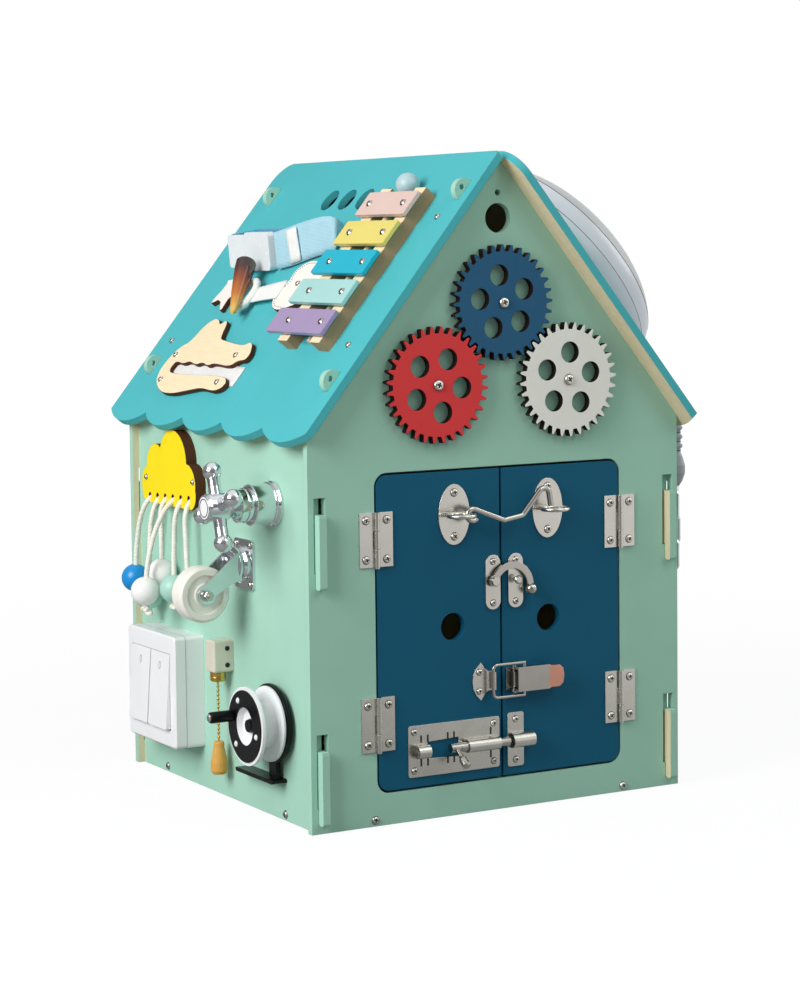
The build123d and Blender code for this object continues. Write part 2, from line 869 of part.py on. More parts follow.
# Three meshing gears on the gable
pitch_radius = gear_module * gear_teeth / 2
gear_root = pitch_radius - 1.25 * gear_module
gear_outer = pitch_radius + gear_module - gear_tip_gap
tooth_pitch = 360.0 / gear_teeth
tooth_mid = math.pi * gear_module / 2 - gear_slack
side_gear_x = math.sqrt((2 * pitch_radius) ** 2 - (blue_gear_z - side_gear_z) ** 2)


def gear(x, z, tooth_angle, window_angle):
    """A spur gear with round windows; one tooth points along tooth_angle, seen from the front."""
    with BuildPart() as wheel:
        with BuildSketch(front_face.offset(gear_standoff)):
            with Locations((x, z)):
                Circle(gear_root)
                with PolarLocations(gear_root - 0.5, gear_teeth, start_angle=tooth_angle):
                    Polygon(
                        (0, -0.72 * tooth_mid),
                        (gear_outer - gear_root + 0.5, -0.26 * tooth_mid),
                        (gear_outer - gear_root + 0.5, 0.26 * tooth_mid),
                        (0, 0.72 * tooth_mid),
                        align=None,
                    )
                Circle(gear_bore, mode=Mode.SUBTRACT)
                with PolarLocations(gear_window_circle, gear_window_count, start_angle=window_angle):
                    Circle(gear_window / 2, mode=Mode.SUBTRACT)
        extrude(amount=gear_thickness)
    return wheel.part


drop_angle = math.degrees(math.atan2(side_gear_z - blue_gear_z, side_gear_x))
left_angle = 180 - drop_angle
tooth_offset = (left_angle - drop_angle) % tooth_pitch
keep("blue_gear", gear(0, blue_gear_z, left_angle, 100))
keep("red_gear", gear(-side_gear_x, side_gear_z, left_angle + 180 + tooth_pitch / 2, 65))
keep("white_gear", gear(side_gear_x, side_gear_z, drop_angle + 180 - tooth_offset + tooth_pitch / 2, 86))

axle_top = gear_standoff + gear_thickness + 0.15
axle_profile = [(0, 0), (6, 0), (6, gear_standoff - 0.1), (gear_axle, gear_standoff - 0.1), (gear_axle, axle_top)]
axle_profile += [(gear_axle_head, axle_top), (0.7 * gear_axle_head, axle_top + 1.5), (0, axle_top + 1.5)]
gear_places = [(0, blue_gear_z), (-side_gear_x, side_gear_z), (side_gear_x, side_gear_z)]
root_screws = [turned(front_face, x, z, axle_profile) for x, z in gear_places]

# Cloud board
with BuildPart() as cloud:
    with BuildSketch(left_face):
        with Locations((-72, cloud_low + 11)):
            RectangleRounded(98, 22, 10.5)
        with Locations((-63.5, cloud_low + 34.5)):
            Circle(24.5)
        with Locations((-94.5, cloud_low + 29.5)):
            Circle(17)
        with Locations((-107.5, cloud_low + 15)):
            Circle(14)
        with Locations((-39.5, cloud_low + 18.5)):
            Circle(16)
        for k in range(6):
            with Locations((cord_hole_first_u + k * cord_hole_pitch, cord_hole_z + k * cord_hole_climb)):
                Circle(cord_hole, mode=Mode.SUBTRACT)
    extrude(amount=cloud_thickness)
keep("cloud_board", cloud.part)

# Cords with beads: hole number, then the bead's u, z and standoff
bead_places = {
    0: (-129.6, 152.0, 12.6),
    1: (-104.0, 141.0, 12.6),
    2: (-78.2, 161.7, 12.6),
    3: (-70.1, 149.7, 31.0),
    4: (-57.0, 151.6, 12.6),
    5: (-32.0, 152.0, 12.6),
}
cord_parts = []
bead_parts = []
for hole, (bead_u, bead_z, bead_off) in bead_places.items():
    hole_u = cord_hole_first_u + hole * cord_hole_pitch
    hole_z = cord_hole_z + hole * cord_hole_climb
    route = [
        (hole_u, hole_z, 1.0),
        (hole_u, hole_z, cloud_thickness + cord_exit_bend),
        (bead_u, bead_z + 24.0, bead_off),
        (bead_u, bead_z - bead_radius - knot_radius, bead_off),
    ]
    with BuildLine() as cord_line:
        FilletPolyline(*[left_face.from_local_coords(point) for point in route], radius=[cord_exit_bend, cord_bend])
    cord_path = cord_line.wire()
    with BuildPart() as cord:
        with BuildSketch(Plane(origin=cord_path @ 0, z_dir=cord_path % 0)):
            Circle(cord_radius)
        sweep(path=cord_path)
        with Locations(left_face.from_local_coords(route[-1]) - Vector(0, 0, 0.4)):
            Sphere(knot_radius)
    cord_parts.append(cord.part)
    with BuildPart() as bead:
        with Locations(left_face.from_local_coords((bead_u, bead_z, bead_off))):
            Sphere(bead_radius)
            Cylinder(bead_bore, 3 * bead_radius, mode=Mode.SUBTRACT)
    bead_parts.append(bead.part)
print("cord bend radii", cord_exit_bend, cord_bend)
print("gear places", blue_gear_z, side_gear_x, side_gear_z)
keep("bead_cords", *cord_parts)
keep("beads", *bead_parts)

# Tap with a cross handle
spindle_seat = tap_sleeve_length - 4
bonnet_top = tap_sleeve_length + tap_bonnet_length
tap_profile = [(0, 0), (tap_rim, 0), (tap_rim, 2.0), (tap_sleeve, 3.5), (tap_sleeve - 1, tap_sleeve_length)]
tap_profile += [(tap_bonnet, tap_sleeve_length), (tap_bonnet, bonnet_top)]
tap_profile += [(spindle_radius + pin_clearance, bonnet_top), (spindle_radius + pin_clearance, spindle_seat)]
keep("tap_body", turned(left_face, tap_u, tap_z, tap_profile + [(0, spindle_seat)]))

arm_level = (handle_low + handle_high) / 2
hub_profile = [(0, spindle_seat + 0.3), (spindle_radius, spindle_seat + 0.3), (spindle_radius, handle_low)]
hub_profile += [(handle_hub - 2, handle_low), (handle_hub, handle_low + 4), (handle_hub, handle_high - 1)]
with BuildPart() as tap_handle:
    add(turned(left_face, tap_u, tap_z, hub_profile + [(handle_hub - 1, handle_high), (0, handle_high)]))
    for quarter in range(4):
        turn = math.radians(90 * quarter + handle_tilt)
        outward = left_face.x_dir * math.cos(turn) + left_face.y_dir * math.sin(turn)
        stand = Plane(
            origin=left_face.from_local_coords((tap_u, tap_z, arm_level)), x_dir=left_face.z_dir, z_dir=outward
        )
        ball_at = handle_reach - handle_ball
        add(turned(stand, 0, 0, [(0, 4), (handle_arm + 0.8, 4), (handle_arm, 15), (handle_arm + 0.4, ball_at), (0, ball_at)]))
        with Locations(stand.from_local_coords((0, 0, ball_at))):
            Sphere(handle_ball)
cap_profile = [(0, handle_high), (cap_radius, handle_high), (cap_radius - 0.6, handle_high + cap_rise)]
keep("tap_handle", tap_handle.part, turned(left_face, tap_u, tap_z, cap_profile + [(0, handle_high + cap_rise)]))

# Swivel caster
race_top = caster_sheet + race_rise
fork_low = race_top + fork_gap
fork_high = fork_low + fork_sheet
kingpin = [(3.0, race_top), (3.0, fork_high + 0.2), (5.0, fork_high + 0.2), (4.2, fork_high + 1.8), (0, fork_high + 1.8)]
with BuildPart() as caster_plate:
    add(plate(left_face, 0, caster_sheet, caster_plate_width, caster_plate_height, caster_u, caster_z, 4.0))
    race = [(0, 1.0), (race_radius, 1.0), (race_radius, caster_sheet + 0.55 * race_rise), (race_radius - 3, race_top)]
    add(turned(left_face, caster_u, caster_z, race + kingpin))
caster_bolts = [(caster_u + i * 11.5, caster_z + j * 14.5) for i in (-1, 1) for j in (-1, 1)]
keep("caster_plate", caster_plate.part, *screw_heads(left_face, caster_bolts, caster_sheet, 2.3))

wheel_z = caster_z - wheel_trail
leg_inner = wheel_width / 2 + wheel_side_gap
leg_outer = leg_inner + fork_sheet
leg_plane = Plane(
    origin=left_face.from_local_coords((caster_u, caster_z, 0)), x_dir=left_face.y_dir, z_dir=left_face.x_dir
)
with BuildPart() as caster_fork:
    fork_disc = [(3.0 + pin_clearance, fork_low), (race_radius - 1, fork_low), (race_radius - 1, fork_high)]
    add(turned(left_face, caster_u, caster_z, fork_disc + [(3.0 + pin_clearance, fork_high)]))
    for end in (-1, 1):
        with BuildSketch(leg_plane.offset(end * leg_inner)):
            Polygon(
                (9.5, fork_low),
                (9.5, fork_high + 2),
                (6.0 - wheel_trail, wheel_standoff + 3.0),
                (-6.0 - wheel_trail, wheel_standoff + 3.0),
                (-11.0, fork_high + 2),
                (-11.0, fork_low),
                align=None,
            )
            with Locations((-wheel_trail, wheel_standoff)):
                Circle(7.0)
        extrude(amount=end * fork_sheet)
        with BuildSketch(leg_plane.offset(end * leg_outer)):
            with Locations((-wheel_trail, wheel_standoff)):
                Circle(caster_axle_head)
        extrude(amount=end * 1.6)
    with BuildSketch(leg_plane.offset(-leg_outer)):
        with Locations((-wheel_trail, wheel_standoff)):
            Circle(caster_axle)
    extrude(amount=2 * leg_outer)
keep("caster_fork", caster_fork.part)

wheel_axis_plane = Plane(
    origin=left_face.from_local_coords((caster_u, wheel_z, wheel_standoff)),
    x_dir=left_face.z_dir,
    z_dir=left_face.x_dir,
)
half_wheel = wheel_width / 2
wheel_profile = [(caster_axle + pin_clearance, -half_wheel), (8, -half_wheel), (8.5, -half_wheel + 1.5)]
wheel_profile += [(14, -half_wheel + 1.5), (14.5, -half_wheel), (wheel_radius - 2, -half_wheel)]
wheel_profile += [(wheel_radius, -half_wheel + 2.5)]
wheel_profile += [(radius, -height) for radius, height in reversed(wheel_profile)]
keep("caster_wheel", turned(wheel_axis_plane, 0, 0, wheel_profile))

# Wall switch with two rockers
rocker_offset = rocker_width / 2 + 0.9
rocker_rise = switch_depth - 1.0
with BuildPart() as switch_box:
    with BuildSketch(left_face):
        with Locations((switch_u, switch_low + switch_size / 2)):
            RectangleRounded(switch_size, switch_size, 3.0)
    extrude(amount=switch_depth)
    with BuildSketch(left_face.offset(switch_depth)):
        with Locations((switch_u, rocker_z)):
            Rectangle(4 * rocker_offset - 0.8, rocker_height + 2 * rocker_gap)
    extrude(amount=-rocker_pocket, mode=Mode.SUBTRACT)
    with BuildSketch(left_face.offset(switch_depth - rocker_pocket - 1)):
        with Locations((switch_u, rocker_z)):
            Rectangle(4 * rocker_offset - 1.2, 2.0)
    extrude(amount=1 + rocker_rise - rocker_thickness / 2 - 0.4 - switch_depth + rocker_pocket)
    chamfer(switch_box.faces().sort_by(Axis.X)[0].outer_wire().edges(), 1.2)
keep("switch_box", switch_box.part)


def rocker(u, tilt):
    """One rocker paddle, tipped about its level middle line."""
    lean = math.radians(tilt)
    face = Plane(
        origin=left_face.from_local_coords((u, rocker_z, rocker_rise)),
        x_dir=left_face.x_dir,
        z_dir=left_face.z_dir * math.cos(lean) + left_face.y_dir * math.sin(lean),
    )
    with BuildPart() as paddle:
        with BuildSketch(face.offset(-rocker_thickness / 2)):
            RectangleRounded(rocker_width, rocker_height, 1.5)
        extrude(amount=rocker_thickness)
    return paddle.part


keep("left_rocker", rocker(switch_u - rocker_offset, rocker_tilt))
keep("right_rocker", rocker(switch_u + rocker_offset, rocker_tilt))

# Pull-chain switch with a wooden knob
collar_low = pull_low - collar_length
chain_top = pull_low - 1.5
chain_axis = Plane(origin=left_face.from_local_coords((pull_u, 0, chain_standoff)), z_dir=(0, 0, 1))
with BuildPart() as pull_body:
    with BuildSketch(left_face):
        with Locations((pull_u, pull_low + pull_height / 2)):
            RectangleRounded(pull_width, pull_height, 2.0)
    extrude(amount=pull_depth)
    fillet(pull_body.faces().sort_by(Axis.X)[0].outer_wire().edges(), 1.5)
    with BuildSketch(chain_axis.offset(pull_low)):
        Circle(chain_bore)
    extrude(amount=5, mode=Mode.SUBTRACT)
with BuildPart() as pull_collar:
    with BuildSketch(chain_axis.offset(collar_low)):
        Circle(collar_radius)
        Circle(chain_bore, mode=Mode.SUBTRACT)
    extrude(amount=collar_length)
    chamfer(pull_collar.edges().group_by(Axis.Z)[0], 0.6)
keep("pull_switch", pull_body.part, pull_collar.part)

ball_count = int(chain_length / chain_pitch)
knob_top = chain_top - ball_count * chain_pitch
with BuildPart() as pull_chain:
    with BuildSketch(chain_axis.offset(knob_top)):
        Circle(chain_wire)
    extrude(amount=chain_top - knob_top)
    for k in range(ball_count):
        with Locations(chain_axis.from_local_coords((0, 0, chain_top - k * chain_pitch))):
            Sphere(chain_ball)
keep("pull_chain", pull_chain.part)

knob_low = knob_top - pull_knob_length
knob_turn = Plane(origin=chain_axis.origin + Vector(0, 0, knob_low), x_dir=(1, 0, 0), z_dir=(0, 0, 1))
knob_profile = [(0, 0), (pull_knob_radius - 1.5, 0), (pull_knob_radius, 2.5), (pull_knob_radius, 9)]
knob_profile += [(0.8 * pull_knob_radius, 15), (4.1, 20), (4.1, 23.5), (3.4, pull_knob_length), (0, pull_knob_length)]
keep("pull_knob", turned(knob_turn, 0, 0, knob_profile))

# Reel
axle_head_low = spool_high - 4.3
with BuildPart() as reel_frame:
    frame_profile = [(0, 0), (10, 0), (10, reel_back_low), (reel_back_radius - 1.5, reel_back_low)]
    frame_profile += [(reel_back_radius, reel_back_low + 1.5), (reel_back_radius, reel_back_rise)]
    frame_profile += [(reel_axle, reel_back_rise), (reel_axle, axle_head_low), (5.2, axle_head_low)]
    add(turned(left_face, reel_u, reel_z, frame_profile + [(4.4, axle_head_low + 2.6), (0, axle_head_low + 2.6)]))
    with BuildSketch(left_face):
        with Locations((foot_u, foot_low + foot_sheet / 2)):
            RectangleRounded(foot_length, foot_sheet, 1.4)
    extrude(amount=foot_width)
    with BuildSketch(left_face.offset(reel_back_low)):
        with Locations((reel_u + 3, foot_low + 8)):
            Rectangle(11, 14)
    extrude(amount=reel_back_rise - reel_back_low - 0.4)
keep("reel_frame", reel_frame.part)

spool_bore = reel_axle + pin_clearance
spool_profile = [(spool_bore, spool_low), (spool_radius - 1, spool_low), (spool_radius - 1, spool_low + 1.7)]
spool_profile += [(spool_hub, spool_low + 1.7), (spool_hub, spool_high - 2.5), (spool_radius, spool_high - 2.5)]
spool_profile += [(spool_radius, spool_high), (cover_inner, spool_high), (cover_inner - 1, axle_head_low - 0.3)]
spool_part = turned(left_face, reel_u, reel_z, spool_profile + [(spool_bore, axle_head_low - 0.3)])
cover_top = spool_high + cover_sheet
rivet_circle = (cover_inner + cover_outer) / 2
rivet_places = [
    (reel_u + rivet_circle * math.cos(math.radians(a)), reel_z + rivet_circle * math.sin(math.radians(a)))
    for a in (118, 228, 346)
]
keep("reel_spool", spool_part, *screw_heads(left_face, rivet_places, cover_top, 2.2))

crank_at = (
    reel_u + crank_circle * math.cos(math.radians(crank_angle)),
    reel_z + crank_circle * math.sin(math.radians(crank_angle)),
)
crank_low = cover_top + 0.3
crank_high = crank_low + crank_length
with BuildPart() as reel_cover:
    ring = [(cover_inner + 0.3, spool_high), (cover_outer, spool_high), (cover_outer, cover_top)]
    add(turned(left_face, reel_u, reel_z, ring + [(cover_inner + 0.3, cover_top)]))
    pin = [(0, cover_top - 0.4), (crank_pin, cover_top - 0.4), (crank_pin, crank_high + 0.2)]
    add(turned(left_face, *crank_at, pin + [(2.9, crank_high + 0.2), (2.4, crank_high + 1.2), (0, crank_high + 1.2)]))
keep("reel_cover", reel_cover.part)

crank = [(crank_pin + pin_clearance, crank_low), (crank_radius - 0.6, crank_low), (crank_radius, crank_low + 1)]
crank += [(crank_radius, crank_high - 1), (crank_radius - 0.6, crank_high), (crank_pin + pin_clearance, crank_high)]
keep("reel_handle", turned(left_face, *crank_at, crank))

# Xylophone
bar_low = rail_height + bush_height
bar_high = bar_low + bar_thickness
with BuildPart() as rails:
    with BuildSketch(left_slope):
        with Locations((rail_first_u + rail_length / 2, rail_near_v), (rail_first_u + rail_length / 2, rail_far_v)):
            Rectangle(rail_length, rail_width)
    extrude(amount=rail_height)
keep("xylophone_rails", rails.part)

bar_parts = []
pin_parts = []
pin_profile = [(0, rail_height), (bush_radius, rail_height), (bush_radius, bar_low), (1.5, bar_low)]
pin_profile += [(1.5, bar_high + 0.1), (bar_pin_head, bar_high + 0.1), (0.6 * bar_pin_head, bar_high + 1.4)]
pin_profile += [(0, bar_high + 1.4)]
for k in range(bar_count):
    bar_u = bar_first_u + k * bar_pitch
    bar_length = bar_shortest + k * bar_growth
    with BuildPart() as bar:
        with BuildSketch(left_slope.offset(bar_low)):
            with Locations((bar_u, bar_right_v - bar_length / 2)):
                RectangleRounded(bar_width, bar_length, 1.5)
            with Locations((bar_u, rail_near_v), (bar_u, rail_far_v)):
                Circle(1.6, mode=Mode.SUBTRACT)
        extrude(amount=bar_thickness)
    bar_parts.append(bar.part)
    pin_parts += [turned(left_slope, bar_u, v, pin_profile) for v in (rail_near_v, rail_far_v)]
keep("xylophone_bars", *bar_parts)
keep("bar_pins", *pin_parts)

stick_start = left_slope.from_local_coords((mallet_ball_u, mallet_v, mallet_rise))
stick_end = left_slope.from_local_coords((mallet_end_u, mallet_v, mallet_stick + 0.3))
stick_way = (stick_end - stick_start).normalized()
with BuildPart() as mallet:
    with Locations(stick_start):
        Sphere(mallet_ball)
    with BuildSketch(Plane(origin=stick_start, z_dir=stick_way)):
        Circle(mallet_stick)
    extrude(amount=(stick_end - stick_start).length)
keep("mallet", mallet.part)

# Strap with a side-release buckle, leaning on its lower edge
lean = math.radians(strap_lean)


def leaning(u, v, swing, seat):
    """A plane along a leaning strap: X runs towards the front, Y climbs the strap from its lower edge."""
    turn = math.radians(swing)
    along = left_slope.y_dir * math.cos(turn) - left_slope.x_dir * math.sin(turn)
    uphill = left_slope.z_dir.cross(along)
    climb = uphill * math.cos(lean) + left_slope.z_dir * math.sin(lean)
    return Plane(origin=left_slope.from_local_coords((u, v, seat)), x_dir=along, z_dir=along.cross(climb))


buckle_plane = leaning(strap_low_u, buckle_front_v, 0, buckle_thickness / 2)
with BuildPart() as front_band:
    with BuildSketch(leaning(strap_low_u, buckle_front_v + 6.6, strap_swing, strap_sheet)):
        Rectangle(strap_length, strap_width, align=(Align.MIN, Align.MIN))
    extrude(amount=strap_sheet / 2, both=True)
with BuildPart() as back_band:
    with BuildSketch(left_slope.offset(0.2)):
        with Locations((82.0, -62.0)):
            Rectangle(24.0, strap_return)
    extrude(amount=strap_sheet)
keep("strap", front_band.part, back_band.part)

socket_length = 0.58 * buckle_length
with BuildPart() as socket:
    with BuildSketch(buckle_plane.offset(-buckle_thickness / 2)):
        with Locations((-socket_length / 2, buckle_height / 2)):
            RectangleRounded(socket_length, buckle_height, 4.0)
    extrude(amount=buckle_thickness)
with BuildPart() as plug:
    plug_length = buckle_length - socket_length - 0.3
    with BuildSketch(buckle_plane.offset(-buckle_thickness / 2 + 0.6)):
        with Locations((-socket_length - 0.3 - plug_length / 2, buckle_height / 2)):
            RectangleRounded(plug_length, buckle_height - 4, 3.0)
    extrude(amount=buckle_thickness - 1.2)
keep("buckle", socket.part, plug.part)

# Horn toggle: two small boards, a soft loop and the horn that it holds
patch_gap = 0.2
patch_top = patch_gap + toggle_board
loop_u = horn_u + 24.0
loop_v = horn_v + 13.0
with BuildPart() as fork_board:
    with BuildSketch(left_slope.offset(patch_gap)):
        Polygon(
            (123, -116), (129, -112), (149, -119), (143, -105), (157, -90), (139, -92), (138, -76), (123, -78),
            align=None,
        )
    extrude(amount=toggle_board)
with BuildPart() as mitten_board:
    with BuildSketch(left_slope.offset(patch_gap)) as mitten_outline:
        Polygon(
            (104, 14), (104, 3), (108, -6), (115, -12), (124, -10), (133, -16), (140, -18), (150, -8), (152, 8),
            (137, 47), (112, 47), align=None,
        )
        fillet(mitten_outline.vertices(), 2.0)
    extrude(amount=toggle_board)
with BuildPart() as soft_loop:
    with BuildSketch(left_slope.offset(patch_top)):
        with Locations((loop_u, loop_v)):
            RectangleRounded(loop_length, loop_width, loop_width / 2 - 0.1)
            RectangleRounded(
                loop_length - 2 * loop_wall,
                loop_width - 2 * loop_wall,
                loop_width / 2 - loop_wall - 0.1,
                mode=Mode.SUBTRACT,
            )
    extrude(amount=4.0)
    with BuildSketch(left_slope.offset(patch_top)):
        Polygon((124, -12), (132, -48), (146, -46), (141, -12), align=None)
    extrude(amount=1.4)
keep("toggle_boards", fork_board.part, mitten_board.part, soft_loop.part)

horn_start = left_slope.from_local_coords((horn_u, horn_v, horn_rise))
horn_turn = math.radians(horn_angle)
horn_end = left_slope.from_local_coords(
    (horn_u + horn_length * math.cos(horn_turn), horn_v + horn_length * math.sin(horn_turn), horn_tip_rise)
)
horn_way = (horn_end - horn_start).normalized()
horn_stand = Plane(origin=horn_start, x_dir=horn_way.cross(left_slope.z_dir), z_dir=horn_way)
horn_profile = [(0, 0), (0.94 * horn_big, 0), (horn_big, 0.8), (0.98 * horn_big, 0.16 * horn_length)]
horn_profile += [(0.82 * horn_big, 0.4 * horn_length), (0.6 * horn_big, 0.67 * horn_length)]
horn_profile += [(0.42 * horn_big, 0.86 * horn_length), (horn_small, horn_length - 2), (0, horn_length)]
keep("horn_toggle", turned(horn_stand, 0, 0, horn_profile))

# Slotted animal board over a strip of cloth
with BuildPart() as animal_board:
    with BuildSketch(left_slope.offset(zip_tape)) as animal_outline:
        Polygon(
            (223, -119), (231, -106), (235, -92), (235, -73), (231, -52), (227, -32), (229, -9), (226, 1),
            (220, 4), (214, -6), (217, -100), (212, -107), (205, -105), (207, -90), (204, -82), (207, -67),
            (204, -59), (207, -46), (204, -39), (206, -10), (200, -2), (199, 8), (193, 10), (184, 3), (182, -3),
            (186, -11), (182, -51), (180, -57), (166, -63), (163, -68), (168, -74), (163, -81), (162, -89),
            (169, -99), (186, -105), (190, -114), (199, -121), (212, -124), align=None,
        )
    extrude(amount=zip_board)
with BuildPart() as cloth_strip:
    with BuildSketch(left_slope):
        with Locations((211.5, -50)):
            Rectangle(18, 116)
    extrude(amount=zip_tape)
keep("animal_board", animal_board.part, cloth_strip.part)
animal_top = zip_tape + zip_board

# Push lamp on the right slope
lamp_inner = lamp_radius - 3.0
lamp_dome_radius = lamp_inner - 0.4
lamp_floor = 2.5
base_profile = [(0, 0), (lamp_radius, 0), (lamp_radius, lamp_base_rise), (lamp_inner, lamp_base_rise)]
keep("lamp_base", turned(right_slope, lamp_u, lamp_v, base_profile + [(lamp_inner, lamp_floor), (0, lamp_floor)]))
dome_low = lamp_floor + lamp_gap
dome_outer = [(1.0, lamp_band_rise), (0.95, 0.66 * lamp_rise), (0.8, 0.82 * lamp_rise), (0.55, 0.93 * lamp_rise)]
dome_outer += [(0.28, 0.985 * lamp_rise), (0, lamp_rise)]
dome_profile = [(lamp_dome_radius, dome_low)] + [(part * lamp_dome_radius, rise) for part, rise in dome_outer]
shell_radius = lamp_dome_radius - lamp_wall
dome_profile += [(part * shell_radius, rise - lamp_wall) for part, rise in reversed(dome_outer)]
keep("lamp_dome", turned(right_slope, lamp_u, lamp_v, dome_profile + [(shell_radius, dome_low)]))

# Chain pull on the right wall
grip_low = grip_v_top - grip_length
grip_axis = right_face.from_local_coords((grip_u, grip_low, grip_standoff))
grip_turn = Plane(origin=grip_axis, x_dir=(1, 0, 0), z_dir=(0, 0, 1))
grip_profile = [(0, 0), (3.5, 0), (0.75 * grip_radius, 4), (grip_radius, 10), (grip_radius, 16), (grip_neck + 1, 24)]
for rib in range(4):
    rib_low = 26 + 7 * rib
    grip_profile += [(grip_neck, rib_low), (grip_neck, rib_low + 3), (grip_neck + 1.4, rib_low + 4)]
    grip_profile += [(grip_neck + 1.4, rib_low + 6)]
link_inner = link_length - 4 * link_wire
tab_drop = 7.0
with BuildPart() as grip:
    add(turned(grip_turn, 0, 0, grip_profile + [(grip_neck, grip_length), (0, grip_length)]))
    with BuildSketch(Plane(origin=grip_axis + Vector(0, 1.2, 0), x_dir=(1, 0, 0), z_dir=(0, -1, 0))):
        with Locations((0, 1.0 - tab_drop / 2)):
            Rectangle(7, tab_drop + 2)
        with Locations((0, 3.0 - tab_drop)):
            Circle(1.9, mode=Mode.SUBTRACT)
    extrude(amount=2.4)
    with BuildSketch(right_face):
        with Locations((grip_u, grip_low + 0.8 * grip_length)):
            Rectangle(8, 6)
    extrude(amount=grip_standoff - 2)
    with BuildSketch(right_face):
        with Locations((grip_u, grip_low + 0.8 * grip_length)):
            RectangleRounded(22, 16, 3.0)
    extrude(amount=2.0)

half_wide = link_width / 2 - link_wire
half_link = link_length / 2 - link_wire - half_wide
link_parts = []
link_top = grip_axis.Z + 3.0 - tab_drop + 0.4
for k in range(link_count):
    centre = Vector(grip_axis.X, grip_axis.Y, link_top + link_wire - link_length / 2 - k * (link_inner - 0.3))
    way = (0, 1, 0) if k % 2 == 0 else (1, 0, 0)
    with BuildLine(Plane(origin=centre, x_dir=way, z_dir=Vector(*way).cross(Vector(0, 0, 1)))) as link_line:
        Line((half_wide, -half_link), (half_wide, half_link))
        ThreePointArc((half_wide, half_link), (0, half_link + half_wide), (-half_wide, half_link))
        Line((-half_wide, half_link), (-half_wide, -half_link))
        ThreePointArc((-half_wide, -half_link), (0, -half_link - half_wide), (half_wide, -half_link))
    link_path = link_line.wire()
    with BuildPart() as link:
        with BuildSketch(Plane(origin=link_path @ 0, z_dir=link_path % 0)):
            Circle(link_wire)
        sweep(path=link_path)
    link_parts.append(link.part)
keep("wall_chain", grip.part, *link_parts)

# Screws of the boards and of the pieces that stay still
base_z = floor_thickness / 2
frame_screws = hinge_screws(-1, True) + hinge_screws(1, True)
root_screws += screw_heads(front_face, frame_screws, hinge_sheet)
root_screws += screw_heads(front_face, [(-107, base_z), (107, base_z)])
root_screws += screw_heads(back_face, [(-107, base_z), (107, base_z)])
root_screws += screw_heads(left_face, [(-101, base_z), (101, base_z)])
root_screws += screw_heads(right_face, [(-101, base_z), (101, base_z)])
cloud_screws = [(-112.6, cloud_low + 19.4), (-27.5, cloud_low + 21.6)]
root_screws += screw_heads(left_face, cloud_screws, cloud_thickness, 2.0)
root_screws += screw_heads(left_slope, [(82, -118), (82, -6)], strap_sheet + 0.2)
root_screws += screw_heads(left_slope, [(199, -114), (223, -110), (220.5, -12), (195, -12)], animal_top, 2.2)
root_screws += screw_heads(left_slope, [(126, 7)], patch_top, 2.2)
keep("panel_screws", *root_screws)

for name, solid in pieces.items():
    solid.label = name
    export_step(solid, f"parts/{name}.step")
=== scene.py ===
"""Busy house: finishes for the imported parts, the soft pieces, and a plain studio."""

import math

import bpy
from mathutils import Matrix, Vector


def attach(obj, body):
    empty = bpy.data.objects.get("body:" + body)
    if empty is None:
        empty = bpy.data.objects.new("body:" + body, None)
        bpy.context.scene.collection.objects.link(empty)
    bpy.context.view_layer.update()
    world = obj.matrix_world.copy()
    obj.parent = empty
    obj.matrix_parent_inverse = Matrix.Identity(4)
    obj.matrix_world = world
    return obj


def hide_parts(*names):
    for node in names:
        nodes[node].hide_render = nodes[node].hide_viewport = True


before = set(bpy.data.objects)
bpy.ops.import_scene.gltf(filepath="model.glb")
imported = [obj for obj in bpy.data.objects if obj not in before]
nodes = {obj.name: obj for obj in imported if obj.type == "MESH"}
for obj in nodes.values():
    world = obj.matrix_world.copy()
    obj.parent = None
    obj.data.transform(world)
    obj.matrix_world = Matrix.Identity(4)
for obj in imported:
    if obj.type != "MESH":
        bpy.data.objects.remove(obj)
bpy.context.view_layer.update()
MM = 0.001
SIDES = (-1, 1)

# ---------------------------------------------------------------- camera, fitted to the photograph
YAW, PITCH, ROLL = 0.5201, 0.07582, -0.0114
LENS, SENSOR, SHIFT = 91.51, 36, -0.07
EYE = Vector((-0.97627, -1.71136, 0.41889))
forward = Vector((math.sin(YAW), math.cos(YAW), 0))
level = Vector((math.cos(YAW), -math.sin(YAW), 0))
up = Vector((0, 0, 1))
aim = forward * math.cos(PITCH) - up * math.sin(PITCH)
tilt = up * math.cos(PITCH) + forward * math.sin(PITCH)
right = level * math.cos(ROLL) + tilt * math.sin(ROLL)
upward = tilt * math.cos(ROLL) - level * math.sin(ROLL)
camera_data = bpy.data.cameras.new("camera")
camera_data.lens = LENS
camera_data.sensor_width = SENSOR
camera_data.shift_y = SHIFT
camera = bpy.data.objects.new("camera", camera_data)
bpy.context.scene.collection.objects.link(camera)
view = Matrix((right, upward, -aim)).transposed().to_4x4()
view.translation = EYE
camera.matrix_world = view
bpy.context.scene.camera = camera

# ---------------------------------------------------------------- faces of the house, in mm
APEX, EAVE, HALF_WIDTH, ROOF_BOARD = 476, 282, 158, 6
WALL, FRONT = 152.5, 152
SLOPE = math.atan2(APEX - EAVE, HALF_WIDTH)
RUN, FALL = math.cos(SLOPE), math.sin(SLOPE)
DOWN_LEFT, DOWN_RIGHT = Vector((-RUN, 0, -FALL)), Vector((RUN, 0, -FALL))
left_normal = Vector((-FALL, 0, RUN))
right_normal = Vector((FALL, 0, RUN))
left_top = Vector((0, 0, APEX)) + left_normal * ROOF_BOARD
right_top = Vector((0, 0, APEX)) + right_normal * ROOF_BOARD
OUT_FRONT, OUT_BACK, OUT_LEFT, OUT_RIGHT = (0, -1, 0), (0, 1, 0), (-1, 0, 0), (1, 0, 0)


